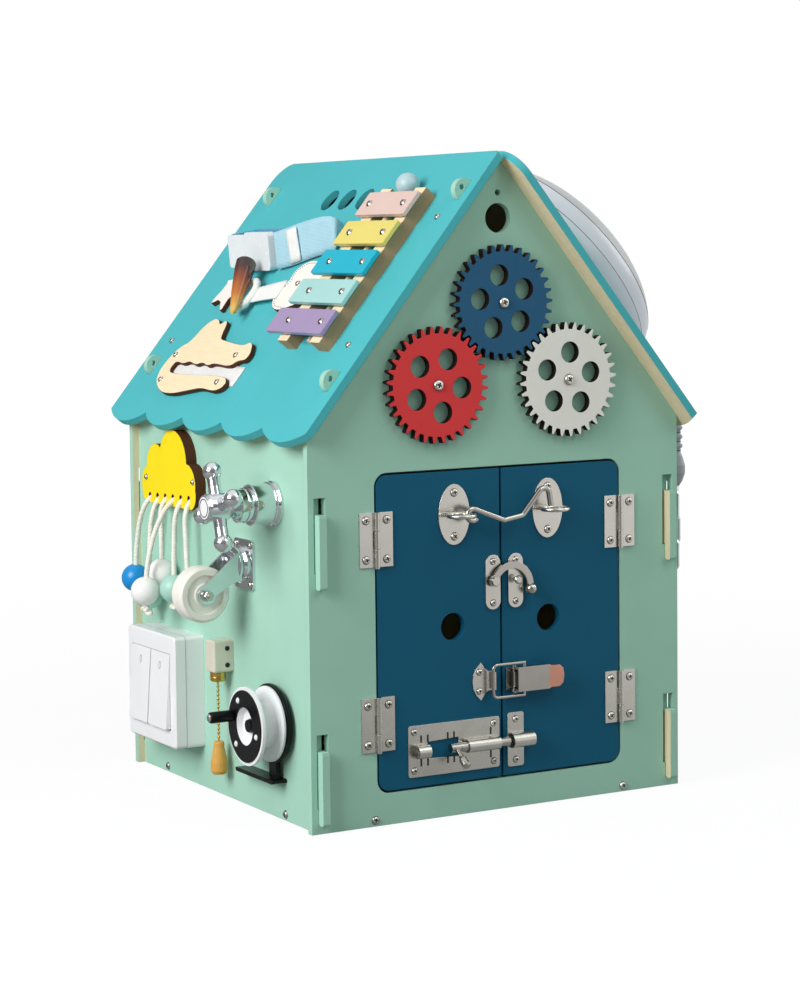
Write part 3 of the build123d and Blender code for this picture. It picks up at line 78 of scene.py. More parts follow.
def on_left_slope(point):
    """(distance down the slope, v, height) of a point on the left roof, in mm."""
    offset = Vector(point) - left_top
    return offset.dot(DOWN_LEFT), -offset.y, offset.dot(left_normal)


def slope_point(u, v, height):
    """A point on the left roof from its (distance down the slope, v, height) in mm."""
    return (left_top + DOWN_LEFT * u + Vector((0, -v, 0)) + left_normal * height) * MM


def wall_point(u, z, standoff):
    """A point on the left wall from its (u, z, standoff) in mm."""
    return Vector((-WALL - standoff, -u, z)) * MM


def front_point(x, z, standoff):
    """A point on the front from its (x, z, standoff) in mm."""
    return Vector((x, -FRONT - standoff, z)) * MM


# ---------------------------------------------------------------- shader tools
def colour(code):
    """A colour as written on a colour picker, in the linear values that shaders take."""
    parts = [int(code[i:i + 2], 16) / 255 for i in (1, 3, 5)]
    return tuple(p / 12.92 if p <= 0.04045 else ((p + 0.055) / 1.055) ** 2.4 for p in parts) + (1.0,)


def feed(tree, socket, value):
    """Links a socket to another node's, or sets it to a value."""
    if isinstance(value, bpy.types.NodeSocket):
        tree.links.new(value, socket)
    else:
        socket.default_value = value


def math_node(tree, operation, a, b):
    made = tree.nodes.new("ShaderNodeMath")
    made.operation = operation
    feed(tree, made.inputs[0], a)
    feed(tree, made.inputs[1], b)
    return made.outputs[0]


def span_node(tree, value, low, high, start=0.0, end=1.0):
    """Takes a value that runs from start to end to one that runs from low to high."""
    made = tree.nodes.new("ShaderNodeMapRange")
    settings = {"Value": value, "From Min": start, "From Max": end, "To Min": low, "To Max": high}
    for name, setting in settings.items():
        feed(tree, made.inputs[name], setting)
    return made.outputs["Result"]


class Finish:
    """A material with one Principled shader, and short ways to feed it."""

    def __init__(self, name, code, rough=0.5, metal=0.0, **inputs):
        self.material = bpy.data.materials.new(name)
        self.material.use_nodes = True
        self.tree = self.material.node_tree
        self.shader = self.tree.nodes["Principled BSDF"]
        self.base = colour(code)
        self.set("Base Color", self.base)
        self.set("Roughness", rough)
        self.set("Metallic", metal)
        for key, value in inputs.items():
            self.set(key.replace("_", " "), value)
        self.coords = {}
        self.normal = None

    def set(self, socket, value):
        feed(self.tree, self.shader.inputs[socket], value)

    def node(self, kind, **inputs):
        made = self.tree.nodes.new(kind)
        for key, value in inputs.items():
            feed(self.tree, made.inputs[key], value)
        return made

    def place(self, stretch=(1, 1, 1), turn=(0, 0, 0)):
        """Coordinates scaled along the axes, to stretch a texture into grain or threads."""
        key = (tuple(stretch), tuple(turn))
        if key not in self.coords:
            source = self.node("ShaderNodeTexCoord").outputs["Object"]
            mapping = self.node("ShaderNodeMapping", Rotation=turn, Scale=stretch, Vector=source)
            self.coords[key] = mapping.outputs["Vector"]
        return self.coords[key]

    def noise(self, scale, detail=3.0, stretch=(1, 1, 1), rough=0.55):
        made = self.node("ShaderNodeTexNoise", Scale=scale, Detail=detail, Roughness=rough, Vector=self.place(stretch))
        return made.outputs["Fac"]

    def wave(self, scale, direction, distort, turn=(0, 0, 0)):
        made = self.node("ShaderNodeTexWave", Scale=scale, Distortion=distort, Detail=2.0, Vector=self.place(turn=turn))
        made.bands_direction = direction
        return made.outputs["Fac"]

    def ramp(self, factor, *stops):
        made = self.node("ShaderNodeValToRGB", Fac=factor)
        elements = made.color_ramp.elements
        while len(elements) < len(stops):
            elements.new(0.5)
        for element, (at, value) in zip(elements, stops):
            element.position = at
            element.color = value
        return made.outputs["Color"]

    def tint(self, factor, dark, light):
        """Base colour moving between two brightnesses of itself."""
        low = tuple(c * dark for c in self.base[:3]) + (1,)
        high = tuple(min(1, c * light) for c in self.base[:3]) + (1,)
        self.set("Base Color", self.ramp(factor, (0.25, low), (0.75, high)))

    def rough(self, factor, low, high):
        self.set("Roughness", span_node(self.tree, factor, low, high))

    def bump(self, height, distance, strength=1.0):
        made = self.node("ShaderNodeBump", Strength=strength, Distance=distance, Height=height)
        if self.normal:
            self.tree.links.new(self.normal, made.inputs["Normal"])
        self.normal = made.outputs["Normal"]
        self.set("Normal", self.normal)

    def soften(self, radius):
        """Rounds the look of sharp edges by a small radius."""
        made = self.node("ShaderNodeBevel", Radius=radius)
        made.samples = 4
        self.normal = made.outputs["Normal"]
        self.set("Normal", self.normal)


# ---------------------------------------------------------------- kinds of finish
LONG_GRAIN = (60, 60, 5)


def painted(name, code, rough=0.48):
    """Matt paint over plywood: faint grain, slight unevenness, softened edges."""
    made = Finish(name, code, rough, Specular_IOR_Level=0.18)
    made.soften(0.0007)
    made.tint(made.noise(16), 0.955, 1.03)
    made.rough(made.noise(60), rough - 0.06, rough + 0.08)
    made.bump(made.noise(9, 4, (40, 40, 6)), 0.00012, 0.35)
    made.bump(made.noise(900, 2), 0.00005, 0.3)
    return made.material


def bare_wood(name, code, grain=LONG_GRAIN, dark=0.86):
    made = Finish(name, code, 0.62, Specular_IOR_Level=0.25)
    made.soften(0.0005)
    made.tint(made.noise(6, 6, grain, rough=0.65), dark, 1.06)
    made.bump(made.noise(9, 4, grain), 0.00015, 0.5)
    return made.material


def bare_inside(name, code, paint, top):
    """The inner face of a gable panel: bare plywood up to a height in m, and paint on the tabs above it."""
    made = Finish(name, code, 0.62, Specular_IOR_Level=0.2)
    height = made.node("ShaderNodeSeparateXYZ", Vector=made.place()).outputs["Z"]
    above = math_node(made.tree, "GREATER_THAN", height, top)
    made.set("Base Color", made.ramp(above, (0, made.base), (1, colour(paint))))
    made.bump(made.noise(9, 4, LONG_GRAIN), 0.00015, 0.5)
    return made.material


def layered(name, code):
    """Sawn plywood edge, uneven in brightness."""
    made = Finish(name, code, 0.7, Specular_IOR_Level=0.2)
    made.tint(made.noise(5, 4, (90, 90, 90)), 0.8, 1.05)
    made.bump(made.noise(400, 2), 0.00015, 0.5)
    return made.material


def metal(name, code, rough, brushed=False):
    made = Finish(name, code, rough, 1.0)
    made.soften(0.0004)
    made.tint(made.noise(70), 0.93, 1.03)
    made.rough(made.noise(140), max(0.03, rough - 0.06), rough + 0.08)
    if brushed:
        made.bump(made.noise(14, 4, (300, 300, 40)), 0.00001, 0.15)
    return made.material


def plastic(name, code, rough, **inputs):
    made = Finish(name, code, rough, **inputs)
    made.soften(0.0006)
    made.tint(made.noise(30, 2), 0.97, 1.02)
    made.rough(made.noise(120, 2), rough - 0.05, rough + 0.06)
    made.bump(made.noise(1500, 2), 0.00002, 0.3)
    return made.material


def woven(name, code, pitch):
    """Cloth or webbing that lies on the left slope: two sets of threads that cross, with sheen."""
    made = Finish(name, code, 0.85, Specular_IOR_Level=0.2, Sheen_Weight=0.35, Sheen_Roughness=0.5)
    threads = math.pi / pitch / 10
    across = made.wave(threads, "X", 0.4, (0, SLOPE, 0))
    along = made.wave(threads, "Y", 0.4, (0, SLOPE, 0))
    made.tint(made.noise(90), 0.93, 1.03)
    made.bump(math_node(made.tree, "MULTIPLY", across, along), 0.0003, 0.6)
    made.bump(made.noise(500, 2), 0.00015, 0.4)
    return made.material


def soft_felt():
    made = Finish("felt", "#f3f1ec", 0.95, Specular_IOR_Level=0.1, Sheen_Weight=0.4)
    made.tint(made.noise(120, 4), 0.93, 1.03)
    made.bump(made.noise(420, 4), 0.0006, 0.8)
    return made.material


def twisted_cord():
    made = Finish("cord_white", "#fdf8ee", 0.85, Specular_IOR_Level=0.15, Sheen_Weight=0.3)
    made.tint(made.noise(200), 0.9, 1.03)
    made.bump(made.wave(260, "DIAGONAL", 1.5), 0.0004, 0.7)
    return made.material


def polished_horn():
    """Horn that goes from dark brown through amber to a pale tip, along its own axis."""
    made = Finish("horn", "#5a2a12", 0.16, Coat_Weight=0.5, Coat_Roughness=0.08)
    start, end = slope_point(117, -70, 17.8), slope_point(163.53, -44.63, 12.6)
    way = (end - start).normalized()
    along = made.node("ShaderNodeVectorMath")
    along.operation = "DOT_PRODUCT"
    made.tree.links.new(made.node("ShaderNodeTexCoord").outputs["Object"], along.inputs[0])
    along.inputs[1].default_value = way
    reach = span_node(made.tree, along.outputs["Value"], 0, 1, start.dot(way), end.dot(way))
    streaks = span_node(made.tree, made.noise(40, 4), -0.16, 0.16)
    stops = [(0.02, "#1f0b06"), (0.2, "#45190a"), (0.42, "#8d3c0d"), (0.66, "#c4701b"), (0.95, "#e2b452")]
    mixed = math_node(made.tree, "ADD", reach, streaks)
    made.set("Base Color", made.ramp(mixed, *[(at, colour(code)) for at, code in stops]))
    made.bump(made.noise(60), 0.0002, 0.2)
    return made.material


MINT, PLY = "#a9d6c2", "#ecdcb8"
ROOF_TABS_FROM = 0.286
mint = painted("mint_paint", MINT)
turquoise = painted("turquoise_paint", "#51bac1")
petrol = painted("petrol_paint", "#105c7a", 0.5)
red = painted("red_paint", "#ea4446", 0.45)
blue = painted("blue_paint", "#2b5f83", 0.45)
white = painted("white_paint", "#fffaf1", 0.5)
yellow = painted("yellow_paint", "#fde31a", 0.4)
cream = painted("cream_board", "#f6efe6", 0.55)
ply = bare_wood("bare_ply", PLY)
gable_inside = bare_inside("gable_inside", PLY, MINT, ROOF_TABS_FROM)
# Rail wood with painted shade: a darker copy of the wood for the rails' sides and ends
rail_wood_painted_shade = bare_wood("rail_wood_painted_shade", "#b58e6b", (5, 60, 5))
birch = bare_wood("birch_face", "#f6e2bd", (60, 8, 60), 0.92)
honey = bare_wood("honey_wood", "#e0aa55", (90, 90, 8))
burnt = layered("burnt_edge", "#54301e")
char = layered("charred_edge", "#241712")
nickel = metal("nickel", "#cecac2", 0.26, True)
steel = metal("steel", "#b3aea7", 0.15, True)
chrome = metal("chrome", "#dfe2e5", 0.07)
brass = metal("brass", "#d9b25a", 0.2)
copper = metal("copper", "#d59a86", 0.3)
# Painted shade: near black for the shade seen inside recesses, slits, holes, seams and grooves
dark = plastic("painted_shade_near_black", "#1b1a19", 0.5)
black = plastic("black_plastic", "#0b0c0e", 0.3, Specular_IOR_Level=0.2)
white_plastic = plastic("white_plastic", "#f6f6f8", 0.3)
milky = plastic("milky_plastic", "#f6f4ea", 0.35, Subsurface_Weight=0.3, Subsurface_Scale=0.004)
clear_plastic = plastic("clear_plastic", "#f8f2df", 0.2, Transmission_Weight=0.25, IOR=1.45)
buckle_plastic = plastic("buckle_plastic", "#f2f8fa", 0.25, Transmission_Weight=0.08, IOR=1.45)
grey_plastic = plastic("grey_plastic", "#a9adb2", 0.4)
lamp_band = plastic("lamp_band", "#e6e7ef", 0.3)
# The cap is a darker grey copy of the band's white: painted shade where the dome turns away from the light
lamp_cap_painted_shade = plastic("lamp_cap_painted_shade", "#c9cacc", 0.35)
bar_pink = plastic("bar_pink", "#e5c7bd", 0.4)
bar_yellow = plastic("bar_yellow", "#ebd975", 0.4)
bar_blue = plastic("bar_blue", "#11b4cd", 0.4)
bar_mint = plastic("bar_mint", "#aad9d6", 0.4)
bar_purple = plastic("bar_purple", "#a692b9", 0.4)
ball_blue = plastic("ball_blue", "#b4ced4", 0.35)
bead_blue = plastic("bead_blue", "#0a90da", 0.3)
bead_mint = plastic("bead_mint", "#abd7c9", 0.35)
bead_white = plastic("bead_white", "#fbfaf8", 0.35)
webbing = woven("webbing", "#abd5e3", 0.0022)
# The strap's inner side: a darker blue copy of the webbing, painted shade
webbing_painted_shade = woven("webbing_painted_shade", "#2f8fc4", 0.0022)
cloth = woven("cloth", "#f4f4f2", 0.0012)
felt = soft_felt()
cord_white = twisted_cord()
horn = polished_horn()


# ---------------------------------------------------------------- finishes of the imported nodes
def dress(names, base, *rules):
    """Gives nodes a finish, and other finishes to the faces that a rule picks by centre (mm) and normal."""
    for name in names.split():
        mesh = nodes[name].data
        mesh.materials.clear()
        for material in [base] + [material for material, _ in rules]:
            mesh.materials.append(material)
        for face in mesh.polygons:
            centre = face.center / MM
            face.material_index = 0
            for index, (_, test) in enumerate(rules):
                if test(centre, face.normal):
                    face.material_index = index + 1
                    break


def facing(outward):
    """Picks the faces that look one way."""
    return lambda centre, direction: direction.dot(Vector(outward)) > FACING


def edge_of(axis):
    """Picks the faces that lie across a board, whose own direction is given."""
    return lambda centre, direction: abs(direction.dot(Vector(axis))) < ACROSS


# Cosines that count as looking one way and as lying across it, then where finishes change, in mm
FACING, ACROSS = 0.9, 0.5
COPPER_TIP_X = 35.5
TAP_CAP_X = -207.5
PULL_COLLAR_TOP = 96.99
CRANK_PIN_HEAD_X = -WALL - 45.8
BAR_FIRST, BAR_PITCH = 59, 27.2
BUSH_TOP = 12.52
MALLET_BALL_END = 45.4
GRIP_BOTTOM = 225

dress("front_panel", mint, (gable_inside, facing(OUT_BACK)))
dress("back_panel", mint, (gable_inside, facing(OUT_FRONT)))
dress("left_panel", mint, (ply, facing(OUT_RIGHT)))
dress("right_panel", mint, (ply, facing(OUT_LEFT)))
dress("floor_panel", ply)
dress("left_roof", turquoise, (ply, facing(-left_normal)))
dress("right_roof", turquoise, (ply, facing(-right_normal)))
dress("left_door right_door", petrol)
dress("frame_hinge_leaves left_hinge_leaves right_hinge_leaves hook_plate hook_catch arm_plate arm_keeper", nickel)
dress("toggle_catch bolt_plate bolt_keeper panel_screws", nickel)
dress("cabin_hook swing_arm toggle_base toggle_bail bolt_rod bolt_knob", steel)
dress("toggle_lever", steel, (copper, lambda c, n: c.x > COPPER_TIP_X))
dress("blue_gear", blue, (char, edge_of(OUT_FRONT)))
dress("red_gear", red, (char, edge_of(OUT_FRONT)))
dress("white_gear", white, (char, edge_of(OUT_FRONT)))
dress("cloud_board", yellow, (burnt, edge_of(OUT_LEFT)))
dress("tap_body caster_plate caster_fork", chrome)
dress("tap_handle", chrome, (white_plastic, lambda c, n: c.x < TAP_CAP_X and n.x < -FACING))
dress("caster_wheel", milky)
dress("switch_box left_rocker right_rocker reel_spool", white_plastic)
dress("pull_switch", clear_plastic, (brass, lambda c, n: c.z < PULL_COLLAR_TOP))
dress("pull_chain", brass)
dress("pull_knob", honey)
dress("reel_frame reel_handle", black)
dress("reel_cover", black, (nickel, lambda c, n: c.x < CRANK_PIN_HEAD_X))
# The rails' sides and ends take the darker wood of painted shade, their tops the light birch
dress("xylophone_rails", rail_wood_painted_shade, (birch, facing(left_normal)))
dress("xylophone_bars", bar_pink, *[
    (material, lambda c, n, middle=BAR_FIRST + BAR_PITCH * k: abs(on_left_slope(c)[0] - middle) < BAR_PITCH / 2)
    for k, material in enumerate((bar_pink, bar_yellow, bar_blue, bar_mint, bar_purple))
])
dress("bar_pins", steel, (felt, lambda c, n: on_left_slope(c)[2] < BUSH_TOP))
dress("mallet", ball_blue, (ply, lambda c, n: on_left_slope(c)[0] > MALLET_BALL_END))
dress("buckle", buckle_plastic)
dress("horn_toggle", horn)
dress("lamp_base", grey_plastic)
dress("lamp_dome", lamp_band)
dress("wall_chain", grey_plastic, (chrome, lambda c, n: c.z < GRIP_BOTTOM))
dress("beads bead_cords strap toggle_boards animal_board", cloth)


# ---------------------------------------------------------------- shape tools
def add_object(name, data, body="house"):
    made = bpy.data.objects.new(name, data)
    bpy.context.scene.collection.objects.link(made)
    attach(made, body)
    return made


def mesh_object(name, points, faces, materials, body="house", smooth=True, slots=None):
    data = bpy.data.meshes.new(name)
    data.from_pydata([tuple(p) for p in points], [], faces)
    for material in materials if isinstance(materials, list) else [materials]:
        data.materials.append(material)
    for index, face in enumerate(data.polygons):
        face.use_smooth = smooth
        if slots:
            face.material_index = slots[index]
    return add_object(name, data, body)


def turns(count):
    """The angles of a circle's equal steps."""
    return [2 * math.pi * k / count for k in range(count)]


def circle(place, radius, height, sides):
    """A circle of points about the axis of a frame."""
    return [place @ Vector((radius * math.cos(t), radius * math.sin(t), height)) for t in turns(sides)]


def bands(first, rows, sides):
    """Quads between circles of points that follow each other from a first index."""
    faces = []
    for row in range(rows - 1):
        for k in range(sides):
            a, b = first + row * sides + k, first + row * sides + (k + 1) % sides
            faces.append((a, b, b + sides, a + sides))
    return faces


def stand(origin, outward):
    """A frame whose Z leaves a face at a point."""
    return Matrix.Translation(origin) @ Vector(outward).to_track_quat("Z", "Y").to_matrix().to_4x4()


def stand_mm(origin, outward):
    """The same frame, for shapes in mm."""
    return stand(origin, outward) @ Matrix.Scale(MM, 4)


def turned_mesh(profile, place, sides=40):
    """Points and faces of a profile of (radius, height) turned about an axis."""
    points = [point for radius, height in profile for point in circle(place, radius, height, sides)]
    return points, bands(0, len(profile), sides)


def tube(points, radius, sides=10, closed=False):
    """Points and faces of a round tube along a line of points."""
    count = len(points)
    ring, faces = [], []
    side = None
    for i, point in enumerate(points):
        ahead = points[(i + 1) % count] if closed or i < count - 1 else point
        behind = points[i - 1] if closed or i > 0 else point
        way = (ahead - behind).normalized()
        if side is None:
            side = way.orthogonal().normalized()
        side = (side - way * side.dot(way)).normalized()
        other = way.cross(side)
        ring += [point + (side * math.cos(t) + other * math.sin(t)) * radius for t in turns(sides)]
    for i in range(count if closed else count - 1):
        here, there = i * sides, ((i + 1) % count) * sides
        for k in range(sides):
            after = (k + 1) % sides
            faces.append((here + k, here + after, there + after, there + k))
    if not closed:
        faces.append(tuple(reversed(range(sides))))
        faces.append(tuple(range((count - 1) * sides, count * sides)))
    return ring, faces


def wire(name, body, line, radius, material, sides):
    """A closed thin wire along a line of points; its radius is in mm."""
    points, faces = tube(line, radius * MM, sides, closed=True)
    return mesh_object(name, points, faces, material, body)


def hoop(name, body, origin, outward, radius, thick, material, sides=64):
    """A thin ring that lies flat on a face; its two radii are in mm."""
    return wire(name, body, circle(stand(origin, outward), radius * MM, 0, sides), thick, material, 8)


def neighbours(outline):
    """Each point of a closed outline with the next one."""
    return zip(outline, outline[1:] + outline[:1])


def rounded(outline, passes=2, cut=0.22):
    """An outline with its corners cut off a few times, which turns them into curves."""
    keep = 1 - cut
    for _ in range(passes):
        finer = []
        for a, b in neighbours(outline):
            finer += [(keep * a[0] + cut * b[0], keep * a[1] + cut * b[1]),
                      (cut * a[0] + keep * b[0], cut * a[1] + keep * b[1])]
        outline = finer
    return outline


def board(name, outline, low, high, face_finish, shrink=0.35):
    """A flat sawn board on the left slope, with slightly broken edges."""
    count = len(outline)
    if sum(a[0] * b[1] - b[0] * a[1] for a, b in neighbours(outline)) < 0:
        outline = outline[::-1]
    inner = []
    for i, here in enumerate(outline):
        before, after = Vector(outline[i - 1]), Vector(outline[(i + 1) % count])
        way = (after - before).normalized()
        inner.append((here[0] - way.y * shrink, here[1] + way.x * shrink))
    rows = [(outline, low), (outline, high - shrink), (inner, high)]
    points = [slope_point(u, v, height) for line, height in rows for u, v in line]
    faces = [tuple(reversed(range(count)))] + bands(0, len(rows), count) + [tuple(range(2 * count, 3 * count))]
    slots = [0] + [1] * (2 * count) + [0]
    return mesh_object(name, points, faces, [face_finish, burnt], "house", False, slots)


def smooth_line(points, steps=8):
    """More points on a smooth curve through the given ones."""
    line = []
    last = len(points) - 1
    for i in range(last):
        p0, p1, p2, p3 = points[max(i - 1, 0)], points[i], points[i + 1], points[min(i + 2, last)]
        for k in range(steps):
            t = k / steps
            line.append(0.5 * (2 * p1 + (p2 - p0) * t + (2 * p0 - 5 * p1 + 4 * p2 - p3) * t * t
                               + (3 * p1 - p0 - 3 * p2 + p3) * t ** 3))
    return line + [points[-1]]


def ribbon(name, lows, highs, thickness, outer, inner, steps=8, columns=7):
    """A band between two edge lines on the left slope, and its length; its two sides have their own finish."""
    lows, highs = (smooth_line([slope_point(*spot) for spot in edge], steps) for edge in (lows, highs))
    rows = len(lows)
    middles = [(low + high) / 2 for low, high in zip(lows, highs)]
    sheets = ([], [])
    for i in range(rows):
        way = middles[min(i + 1, rows - 1)] - middles[max(i - 1, 0)]
        normal = way.cross(highs[i] - lows[i]).normalized() * (thickness * MM / 2)
        for k in range(columns):
            point = lows[i].lerp(highs[i], k / (columns - 1))
            sheets[0].append(point + normal)
            sheets[1].append(point - normal)
    points = sheets[0] + sheets[1]
    shift, faces, slots = rows * columns, [], []
    for i in range(rows - 1):
        for k in range(columns - 1):
            a, b = i * columns + k, (i + 1) * columns + k
            c, d = b + 1, a + 1
            faces += [(a, b, c, d), (a + shift, d + shift, c + shift, b + shift)]
            slots += [0, 1]
        a, b = i * columns, (i + 1) * columns
        c, d = a + columns - 1, b + columns - 1
        faces += [(a, a + shift, b + shift, b), (c, d, d + shift, c + shift)]
        slots += [0, 0]
    for k in range(columns - 1):
        a, b = k, (rows - 1) * columns + k
        faces += [(a, a + 1, a + 1 + shift, a + shift), (b, b + shift, b + 1 + shift, b + 1)]
        slots += [0, 0]
    made = mesh_object(name, points, faces, [outer, inner], "house", True, slots)
    return made, sum((b - a).length for a, b in zip(middles, middles[1:]))


def zip_loops(outer, inner):
    """Triangles between two loops of (angle, index) that go round the same centre."""
    faces, i, j = [], 0, 0
    m, n = len(outer), len(inner)
    while i < m or j < n:
        next_outer = outer[(i + 1) % m][0] + (2 * math.pi if i + 1 >= m else 0)
        next_inner = inner[(j + 1) % n][0] + (2 * math.pi if j + 1 >= n else 0)
        if j >= n or (i < m and next_outer <= next_inner):
            faces.append((outer[i % m][1], outer[(i + 1) % m][1], inner[j % n][1]))
            i += 1
        else:
            faces.append((outer[i % m][1], inner[(j + 1) % n][1], inner[j % n][1]))
            j += 1
    return faces


# ---------------------------------------------------------------- screws
def cross_screws(name, body, spots):
    """Domed heads with a sunk cross over the plain ones, with painted shade in the cross and in a line round each head;
    spots are (point, outward, radius in mm).
    """
    points, faces, slots = [], [], []
    sides, crown, sunk = 24, 1.5, 1.16
    for number, (origin, outward, radius) in enumerate(spots):
        place = stand(origin, outward) @ Matrix.Rotation(0.35 + 0.9 * number, 4, "Z") @ Matrix.Scale(MM, 4)
        # The head, up to the edge of its flat top
        first = len(points)
        dome = [(radius + 0.1, 0.0), (radius + 0.1, 0.5), (0.9 * radius, 1.1), (0.66 * radius, crown)]
        for ring_radius, height in dome:
            points += circle(place, ring_radius, height, sides)
        faces += bands(first, len(dome), sides)
        slots += [0] * (sides * (len(dome) - 1))
        rim = list(zip(turns(sides), range(len(points) - sides, len(points))))
        # Shadow line round the head
        shadow = len(points)
        points += circle(place, radius + 0.05, 0.06, sides) + circle(place, radius + 0.45, 0.06, sides)
        faces += [tuple(reversed(face)) for face in bands(shadow, 2, sides)]
        slots += [1] * sides
        # The cross, with painted shade on its walls and floor, and the flat top around it
        arm, half = 0.56 * radius, 0.17 * radius
        cross = [(arm, half), (half, half), (half, arm)]
        for _ in range(3):
            cross += [(-y, x) for x, y in cross[-3:]]
        start, count = len(points), len(cross)
        points += [place @ Vector((x, y, crown)) for x, y in cross]
        points += [place @ Vector((0.85 * x, 0.85 * y, sunk)) for x, y in cross]
        points.append(place @ Vector((0, 0, sunk - 0.02)))
        edge = sorted((math.atan2(y, x) % (2 * math.pi), start + k) for k, (x, y) in enumerate(cross))
        top = zip_loops(rim, edge)
        faces += top
        slots += [0] * len(top)
        for k in range(count):
            a, b = start + k, start + (k + 1) % count
            faces += [(a, b, b + count, a + count), (a + count, b + count, start + 2 * count)]
            slots += [1, 1]
    return mesh_object(name, points, faces, [nickel, dark], body, False, slots)


def heads(point, places, standoff, outward, radius):
    """Screw heads at places on one face, as cross_screws takes them."""
    return [(point(a, b, standoff), outward, radius) for a, b in places]


LARGE, SMALL = 2.7, 2.2
PLATE = 1.2
HINGE_Z = [centre + end * 14.04 for centre in (205.5, 73.2) for end in SIDES]
HINGE_FRAME_X, HINGE_DOOR_X = 112.57, 95.83
HOOK_X, HOOK_Z, SWING_Z, TOGGLE_Z, BOLT_Z = 40, 219.5, 168, 96, 50.6
GEARS = [(0, 370.9073), (-55.6253, 313.3879), (55.6253, 313.3879)]
EDGE_Z, EDGE_X, EDGE_Y = 4.5, (-107, 107), (-101, 101)
CASTER_U, CASTER_Z = 42.5, 180.5

frame_spots = [
    *heads(front_point, [(side * HINGE_FRAME_X, z) for side in SIDES for z in HINGE_Z], PLATE, OUT_FRONT, LARGE),
    *heads(front_point, [(x, EDGE_Z) for x in EDGE_X], 0, OUT_FRONT, LARGE),
    *[(Vector((x, FRONT, EDGE_Z)) * MM, OUT_BACK, LARGE) for x in EDGE_X],
    *[(Vector((side * WALL, y, EDGE_Z)) * MM, (side, 0, 0), LARGE) for side in SIDES for y in EDGE_Y],
    # Cloud board, strap ends, animal board, mitten board, caster plate, roof
    *heads(wall_point, [(-112.6, 233.4), (-27.5, 235.6)], 9, OUT_LEFT, 2.0),
    *heads(slope_point, [(82, -118), (82, -6)], 1.7, left_normal, LARGE),
    *heads(slope_point, [(199, -114), (223, -110), (220.5, -12), (195, -12)], 4.5, left_normal, SMALL),
    *heads(slope_point, [(126, 7)], 4.2, left_normal, SMALL),
    *heads(wall_point, [(CASTER_U + i * 11.5, CASTER_Z + j * 14.5) for i in SIDES for j in SIDES], 2.2, OUT_LEFT, 2.3),
    *heads(slope_point, [(60.5, 139), (176, 137), (183, -150)], 0, left_normal, SMALL),
]
cross_screws("board_screws", "house", frame_spots)
cross_screws("gear_screws", "house", heads(front_point, GEARS, 7.8, OUT_FRONT, 3.6))
# Latch plates of each door: x, middle z, distance of the two heads from it, standoff
LATCH_HEADS = {
    "left_leaf": [
        (-7.6, SWING_Z, 15.2, 1.6), (-20, TOGGLE_Z, 7, 1.4), (-75, BOLT_Z, 14, PLATE), (-8, BOLT_Z, 14, PLATE),
    ],
    "right_leaf": [(11.8, SWING_Z, 15.2, 1.6), (11, BOLT_Z, 15, PLATE)],
}
for side, body in zip(SIDES, LATCH_HEADS):
    spots = heads(front_point, [(side * HINGE_DOOR_X, z) for z in HINGE_Z], PLATE, OUT_FRONT, LARGE)
    spots += heads(front_point, [(side * HOOK_X, HOOK_Z + end * 15.84) for end in SIDES], 1.5, OUT_FRONT, LARGE)
    for x, z, rise, standoff in LATCH_HEADS[body]:
        spots += heads(front_point, [(x, z + end * rise) for end in SIDES], standoff, OUT_FRONT, SMALL)
    cross_screws(f"{body}_screws", body, spots)


def slits(name, body, middles, wide, tall, low, high):
    """Thin boxes of painted shade on the front where the slits show only shade, each about its middle (x, z); half
    sizes and standoffs in mm.
    """
    points, faces = [], []
    for x, z in middles:
        a = len(points)
        for off in (low, high):
            points += [front_point(x + i * wide, z + j * tall, off) for i, j in ((-1, -1), (1, -1), (1, 1), (-1, 1))]
        faces += [(a + 4, a + 5, a + 6, a + 7), (a, a + 1, a + 5, a + 4), (a + 1, a + 2, a + 6, a + 5)]
        faces += [(a + 2, a + 3, a + 7, a + 6), (a + 3, a, a + 4, a + 7), (a + 3, a + 2, a + 1, a)]
    return mesh_object(name, points, faces, dark, body, False)


# Boxes of painted shade in the slits above and below the bolt
SLIT_X = (-69.4, -63.8, -47.1, -41.8, -10.6)
slits("bolt_slits", "left_leaf", [(x, BOLT_Z + end * 8.6) for x in SLIT_X for end in SIDES], 0.75, 2.7, 1.1, 1.24)

# ---------------------------------------------------------------- left wall details
TAP_U, TAP_Z = 89, 229
# A thin ring of painted shade on the tap's white cap, then the cap's chrome rim
hoop("cap_ring", "tap", wall_point(TAP_U, TAP_Z, 55.42), OUT_LEFT, 6.4, 0.35, dark)
hoop("cap_rim", "tap", wall_point(TAP_U, TAP_Z, 54.6), OUT_LEFT, 8.5, 0.75, chrome)
for number, (height, radius, thick) in enumerate(((4.6, 15.0, 0.9), (19.6, 14.1, 0.8), (24.5, 12.0, 0.7))):
    hoop(f"tap_bead_{number + 1}", "house", wall_point(TAP_U, TAP_Z, height), OUT_LEFT, radius, thick, chrome)

AXLE_Z, AXLE_OUT, AXLE_HALF = 161, 37, 12.1
NUT = [(4.0, 0), (4.0, 2.4), (3.5, 2.9), (1.9, 2.9), (1.9, 3.8), (1.2, 4.2), (0.01, 4.2)]
for end, letter in zip(SIDES, "ab"):
    nut_place = stand_mm(wall_point(CASTER_U + end * AXLE_HALF, AXLE_Z, AXLE_OUT), (0, -end, 0))
    mesh_object(f"axle_nut_{letter}", *turned_mesh(NUT, nut_place, 6), nickel, "swivel", False)

